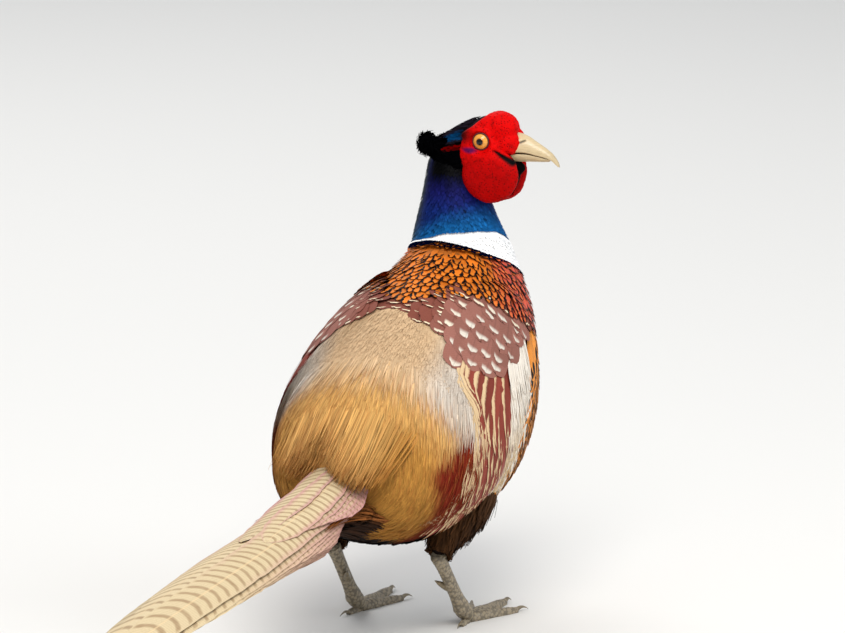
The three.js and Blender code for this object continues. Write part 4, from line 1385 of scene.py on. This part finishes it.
face = Finish("bare_red_face", 0.6, Specular_IOR_Level=0.06)
violet, crease_and_painted_shade, low_lobe_painted_shade, temple_painted_shade_dim = face.parts("mark")
cells = face.cells(660.0)
fine = face.grain(300, 3)
# Deep red darkens the lobes towards the bottom as painted shade.
red = face.layered("red", (fine.step(0.45, 0.8) * 0.5, "deep_red"), (low_lobe_painted_shade * 0.5, "deep_red"),
                   (violet, "plum"), (crease_and_painted_shade, "black"))
# The face is dimmed in dots, the pits of its bumpy skin, and on the temple behind the eye: both are
# painted shade.
face.feed("Base Color", face.dim(red, (0.25 + 0.75 * cells.step(0.08, 0.34)) * temple_painted_shade_dim))
face.bump(cells.step(0.0, 0.5), 0.6, 0.0004)


for side, word in SIDES:
    wattle = one_skin([
        primitive(bpy.ops.mesh.primitive_ico_sphere_add, "bulb", np.array(at) * (1, side, 1),
                  subdivisions=4, radius=1, rotation=(0, 0, HEAD_TURN), scale=np.array(size) / 1000)
        for at, size in face_bulbs(side)], f"face_{word}", FACE_VOXEL, 10)
    points, normals = mesh_points(wattle), point_normals(wattle)
    folds = sway(points, 0.14, 3 + side) * 0.45 + 0.5
    pimples = np.array([noise.voronoi(Vector(p) * 0.8)[0][0] for p in points])
    points = points + normals * (folds + 0.4 * (0.45 - pimples))[:, None]
    p = to_head(points) * (1, side, 1)
    p[:, 2] -= 0.8 * np.maximum(over_brow(p), 0)
    step = GAPE[1] - GAPE[0]
    share = np.clip((p[:, [0, 2]] - GAPE[0]) @ step / (step @ step), 0, 1)
    off = np.linalg.norm(p[:, [0, 2]] - GAPE[0] - share[:, None] * step, axis=-1)
    ends = (p[:, 0] - GAPE[0, 0]) / step[0]
    # The gape crease is cut into the face and inked black: a black gape line, deepened by painted
    # shade in the crease.
    crease_and_painted_shade = np.exp(-(off / (0.5 + 2.2 * share)) ** 2) * smooth(-0.3, 0.3, ends)
    p[:, 1] -= 1.8 * crease_and_painted_shade * (p[:, 1] > 3)
    off = np.hypot(p[:, 0], p[:, 2])
    ball = EYE_OUT + np.sqrt(np.clip(EYE_RADIUS ** 2 - off ** 2, 0, None)) - 0.8
    rise = EYE_OUT + 3.3 + (off - EYE_HOLE) * 1.1
    p[:, 1] = np.where(off < EYE_HOLE, np.minimum(p[:, 1], ball),
                       np.where(off < EYE_RIM, np.minimum(p[:, 1], rise), p[:, 1]))
    p[:, 1] = np.maximum(p[:, 1], 0.15)
    set_points(wattle, from_head(p * (1, side, 1)))
    spot = 0.85 * smooth(0.2, 0.9, np.exp(
        -((p[:, 0] + 7) / 5.5) ** 2 - ((p[:, 2] + 6 + p[:, 0] * 0.05) / 2.1) ** 2))
    # Painted shade that darkens the temple behind and above the eye, kept as a dim in the fourth
    # number.
    painted_temple_shade = np.exp(-((p[:, 0] + 13) / 7.5) ** 2 - ((p[:, 2] - 3.5) / 6) ** 2)
    add_tint(wattle.data, "mark", np.stack(
        [spot, smooth(0.2, 0.9, crease_and_painted_shade), smooth(-3, -20, p[:, 2]), 1 - 0.94 * painted_temple_shade], -1))
    dress(wattle, face, (f"wattle_{word}",))


# ---- Eyes ----

eye = Finish("eye", 0.12, Coat_Weight=0.25, Coat_Roughness=0.03, Specular_IOR_Level=0.3)
ex, ey = eye.across_and_down("iris")
radius = (ex * ex + (ey * 2 - 1) ** 2) ** 0.5
streaks = eye.grain(1400, 3)
eye.feed("Base Color", eye.layered(
    eye.blend(radius.step(0.3, 0.5), "amber", "iris"), (streaks * 0.35, "amber"),
    (radius.step(0.7, 0.76), "soot"), (radius.step(0.34, 0.31), "black")))
lid_look = grainy("eyelid", 0.5, "deep_red", "soot", 1200, 2, 0.5)

for side, word in SIDES:
    ball = primitive(
        bpy.ops.mesh.primitive_uv_sphere_add, f"eyeball_{word}", (0, side * EYE_OUT, 0),
        segments=56, ring_count=36, radius=EYE_RADIUS / 1000, rotation=(math.pi / 2, 0, HEAD_TURN))
    p = to_head(mesh_points(ball)) * (1, side, 1)
    off = np.hypot(p[:, 0], p[:, 2])
    p[:, 1] += 0.5 * np.exp(-(off / 2.6) ** 2) * (p[:, 1] > EYE_OUT)
    set_points(ball, from_head(p * (1, side, 1)))
    for layer in list(ball.data.uv_layers):
        ball.data.uv_layers.remove(layer)
    add_map(ball.data, "iris", np.stack([p[:, 0], p[:, 2]], -1) / EYE_RADIUS / 2 + 0.5)
    dress(ball, eye, (f"eye_{word}",))

    lid = primitive(
        bpy.ops.mesh.primitive_torus_add, f"eyelid_{word}", (0, side * (EYE_OUT + LID_OUT), 0),
        major_radius=LID_RING / 1000, minor_radius=LID_THICK / 1000, major_segments=64,
        minor_segments=14, rotation=(math.pi / 2, 0, HEAD_TURN))
    points, normals = mesh_points(lid), point_normals(lid)
    set_points(lid, points + normals * (sway(points, 1.3, 9) * 0.22)[:, None])
    dress(lid, lid_look)


# ---- Bill ----

# Forward, top, bottom and half width.
UPPER_BILL = np.array([
    (13, 4, -9.2, 8), (18, 4.4, -8.6, 7.8), (22, 4.2, -8.1, 7), (27, 2.4, -8.3, 5.7),
    (32.5, -0.9, -9.4, 4.7), (38, -4.2, -10.4, 3.7), (42.5, -7.5, -12, 3),
    (45.3, -10.9, -14.2, 2.5), (46.7, -13.2, -15.6, 1.8), (47.3, -14.8, -16, 1)])
LOWER_BILL = np.array([
    (13, -9.4, -13.6, 7), (18, -8.8, -14, 6.6), (23, -8.35, -13.9, 5.6), (29, -8.75, -13.6, 4.4),
    (36, -10.1, -13.3, 3.2), (41, -11.3, -12.9, 1.6)])

bill = Finish("bill_horn", 0.34, Coat_Weight=0.15)
nostril_slit_and_painted_shade, tipward, _, _ = bill.parts("mark")
horn_grain = bill.grain(260, 4, stretch=(1, 1, 5))
# The nostril slit, also cut into the bill, is inked soot as painted shade in the hole.
bill.feed("Base Color", bill.layered(
    "bill", (horn_grain.step(0.4, 0.75) * 0.4, "horn"), (tipward * 0.35, "horn"), (nostril_slit_and_painted_shade, "soot")))
bill.bump(horn_grain, 0.2, 0.0003)

NOSTRIL_F, NOSTRIL_Z, NOSTRIL_TILT = 24, -0.5, math.radians(24)


def bill_piece(name, stations, ridged, replaces):
    """Half of the bill. The ridged upper half has the nostrils."""
    k = np.linspace(0, len(stations) - 1, 84)[:, None]
    a = (np.arange(96) * 2 * math.pi / 96)[None]
    f, top, bottom, half = (along(stations[:, c], k) for c in range(4))
    middle = bottom + (top - bottom) * 0.16 if ridged else top
    reach = np.where(np.cos(a) > 0, top - middle, middle - bottom)
    half = np.maximum(half, 0.3)
    p = np.stack([f + 0 * a, half * np.sin(a), middle + reach * np.cos(a)], -1)
    nostril_slit_and_painted_shade = np.zeros(p.shape[:2])
    if ridged:
        af, az = p[..., 0] - NOSTRIL_F, p[..., 2] - NOSTRIL_Z
        run = af * math.cos(NOSTRIL_TILT) + az * math.sin(NOSTRIL_TILT)
        rise = az * math.cos(NOSTRIL_TILT) - af * math.sin(NOSTRIL_TILT)
        outer = np.abs(p[..., 1]) / half > 0.5
        nostril_slit_and_painted_shade = np.exp(-(run / 2.5) ** 4 - (rise / 0.55) ** 2) * outer
        shield = 0.7 * np.exp(-(run / 3.4) ** 2 - ((rise - 1.6) / 1.3) ** 2) * outer
        p[..., 1] += np.sign(p[..., 1]) * (shield - 1.2 * nostril_slit_and_painted_shade)
    points, faces = loft(from_head(p))
    tipward = smooth(34, 48, np.broadcast_to(f, p.shape[:2]))
    mark = np.stack([nostril_slit_and_painted_shade, tipward, nostril_slit_and_painted_shade, nostril_slit_and_painted_shade + 1], -1).reshape(-1, 4)
    mark = np.concatenate([mark, [[0, 0, 0, 1], [0, 1, 0, 1]]])
    mesh_piece(name, points, faces, bill, tints={"mark": mark}, slot="bill_horn",
               replaces=replaces)


bill_piece("upper_bill", UPPER_BILL, True, ("bill_upper",))
bill_piece("lower_bill", LOWER_BILL, False, ("bill_lower",))


# ---- Legs and feet ----

scaly = Finish("leg_scales", 0.55)
scale_cells = scaly.cells(480.0)
leg_hue = scaly.blend(scaly.grain(500, 3), "leg", "horn")
scaly.feed("Base Color", scaly.dim(leg_hue, 0.5 + 0.5 * scale_cells.step(0.75, 0.35)))
scaly.bump(scale_cells.step(0.7, 0.3), 0.5, 0.0005)
claw_look = grainy("claw_horn", 0.35, "claw", "horn", 600, 3, 0.2)

FOOT_X, FOOT_Y = -17, 37
# Degrees outward, length and radius of each toe.
TOES = ((-20, 38, 3.4), (3, 52, 3.8), (27, 40, 3.4), (172, 14, 2.6))


def tube(path, wide, deep, count, ridges=None):
    """Points and faces of a tube whose front may be ridged. Sizes are radii at each path point."""
    across = np.array([0.0, 1, 0])
    ahead = unit(np.gradient(path, axis=0))
    sideways = unit(across - ahead * (ahead @ across)[:, None])
    front = np.cross(sideways, ahead)
    a = np.arange(count) * 2 * math.pi / count
    swell = 1 if ridges is None else 1 + np.outer(ridges, np.clip(np.sin(a), 0, 1))
    wide, deep = np.broadcast_to(wide, len(path)), np.broadcast_to(deep, len(path))
    return loft(path[:, None] + sideways[:, None] * (np.outer(wide, np.cos(a)) * swell)[..., None]
                + front[:, None] * (np.outer(deep, np.sin(a)) * swell)[..., None])


def toe_parts(side, turn, length, radius):
    """A toe with plates on top and its claw, both flat or rounded on the floor."""
    heading = math.radians(turn) * side
    forward = np.array([math.cos(heading), math.sin(heading), 0])
    across = np.array([-forward[1], forward[0], 0])
    start = np.array([FOOT_X, FOOT_Y * side, 0.0])
    a = np.linspace(-math.pi / 2, 3 * math.pi / 2, 24, endpoint=False)

    def rings(run, wide, high, low):
        up = np.where(np.sin(a) < -0.3, -0.3, np.sin(a)) + 0.3
        return (start + run[:, None, None] * forward + np.outer(wide, np.cos(a))[..., None] * across
                + (low[:, None] + np.outer(high, up / 1.3))[..., None] * (0, 0, 1))

    s = np.linspace(0, 1, 46)
    wide, high = (np.interp(s, [0, 0.3, 0.55, 0.8, 1], sizes) * radius for sizes in (
        [1, 1.05, 0.8, 0.85, 0.55], [1.7, 1.7, 1.35, 1.25, 0.95]))
    plates = 1 + 0.07 * ((s * length / 3.1) % 1)
    toe = loft(rings(s * length, wide, high * plates, 0 * s))
    s = np.linspace(0, 1, 16)
    curve = 2.2 * np.sin(s * math.pi * 0.9)
    claw = loft(rings(length - 1.5 + s * 11, radius * (0.5 - 0.46 * s), radius * (0.85 - 0.75 * s),
                      curve))
    return toe, claw


def joined_mesh(parts):
    points, faces, start = [], [], 0
    for p, f in parts:
        points.append(p)
        faces.extend([[v + start for v in face] for face in f])
        start += len(p)
    return np.concatenate(points), faces


for side, word in SIDES:
    hock, ankle = HOCK * (1, side, 1), ANKLE * (1, side, 1)
    s = np.linspace(0, 1, 110)
    path = hock + s[:, None] * (ankle - hock)
    swell = 1 + 0.35 * (2 * s - 1) ** 4
    shank = tube(path, 3.6 * swell, 4.6 * swell, 32, 0.09 * ((s * 15) % 1))
    mesh_piece(f"scaled_shank_{word}", *shank, scaly, slot="leg_scales",
               replaces=(f"shank_{word}",))
    heel = hock + 0.64 * (ankle - hock)
    s = np.linspace(0, 1, 20)[:, None]
    spur_path = heel + s * 15 * unit(np.array([-0.8, -0.42 * side, 0.25])) + 3 * s ** 2 * (0, 0, 1)
    spur_size = 3.4 * np.interp(s[:, 0], [0, 0.4, 0.75, 1], [1, 0.75, 0.45, 0.06])
    spur = tube(spur_path, spur_size, spur_size, 20)
    toes, claws = zip(*(toe_parts(side, *toe) for toe in TOES))
    pad = np.array([FOOT_X, FOOT_Y * side, 3.2])
    root = tube(np.array([ankle + (pad - ankle) * k for k in np.linspace(-0.2, 1, 14)]),
                *(np.interp(np.linspace(0, 1, 14), [0, 0.55, 1], radii)
                  for radii in ([4.6, 5.6, 4.6], [5.6, 5.2, 3])), 24)
    mesh_piece(f"scaled_foot_{word}", *joined_mesh([root, *toes]), scaly, slot="leg_scales",
               replaces=(f"foot_{word}",))
    mesh_piece(f"claws_and_spur_{word}", *joined_mesh([spur, *claws]), claw_look,
               slot="leg_scales")


# ---- Floor, light and camera ----

bpy.ops.object.select_all(action="DESELECT")
bpy.ops.mesh.primitive_plane_add(size=30, location=(0, 0, 0))
floor = bpy.context.object
floor.name = "floor"
floor_look = Finish("pale_floor", 0.9)
floor_look.feed("Base Color", floor_look.blend(
    floor_look.grain(0.6, 2) * 0.15, "floor", "floor_dark"))
floor.data.materials.append(floor_look.material)

RIGHTWARD, UPWARD, BACKWARD = (
    Vector(v).normalized() for v in (
        (0.4067, -0.9135, 0), (0.190, 0.0846, 0.978), (-0.8935, -0.3978, 0.2079)))
# The point the camera looks at, as millimetres along its own three axes.
AIM = (-1.5625, 185.3, 56)
CAMERA_AWAY = 6.5
aim = metres(sum(np.array(axis) * run for axis, run in zip((RIGHTWARD, UPWARD, BACKWARD), AIM)))
lens = bpy.data.cameras.new("camera")
lens.lens, lens.sensor_width = 443.07, 36
lens.clip_start, lens.clip_end = 0.1, 60
camera = bpy.data.objects.new("camera", lens)
scene.collection.objects.link(camera)
camera.matrix_world = Matrix.Translation(Vector(aim) + BACKWARD * CAMERA_AWAY) @ Matrix(
    (RIGHTWARD, UPWARD, BACKWARD)).transposed().to_4x4()
scene.camera = camera

# Direction, distance, size, power and colour of each lamp, a soft disk that faces the bird.
LAMPS = {
    "key_light": ((-0.95, -0.5, 1.45), 2.4, 1.6, 49, (1, 0.98, 0.94)),
    "fill_light": ((0.3, -1.2, 0.7), 2.6, 2.2, 18, (0.94, 0.97, 1)),
    "back_light": ((0.9, 0.9, 1.2), 2.6, 1.6, 22, (1, 1, 1)),
}
for name, (direction, distance, size, power, colour) in LAMPS.items():
    lamp_light = bpy.data.lights.new(name, "AREA")
    lamp_light.shape, lamp_light.size = "DISK", size
    lamp_light.energy, lamp_light.color = power, colour
    lamp = bpy.data.objects.new(name, lamp_light)
    scene.collection.objects.link(lamp)
    away = Vector(direction).normalized()
    lamp.location = Vector((0.1, 0, 0.15)) + away * distance
    lamp.rotation_euler = away.to_track_quat("Z", "Y").to_euler()

world = bpy.data.worlds.new("studio")
scene.world = world
world.use_nodes = True
world.node_tree.nodes["Background"].inputs[0].default_value = (0.9, 0.94, 1, 1)
world.node_tree.nodes["Background"].inputs[1].default_value = 0.55
scene.view_settings.view_transform = "Standard"
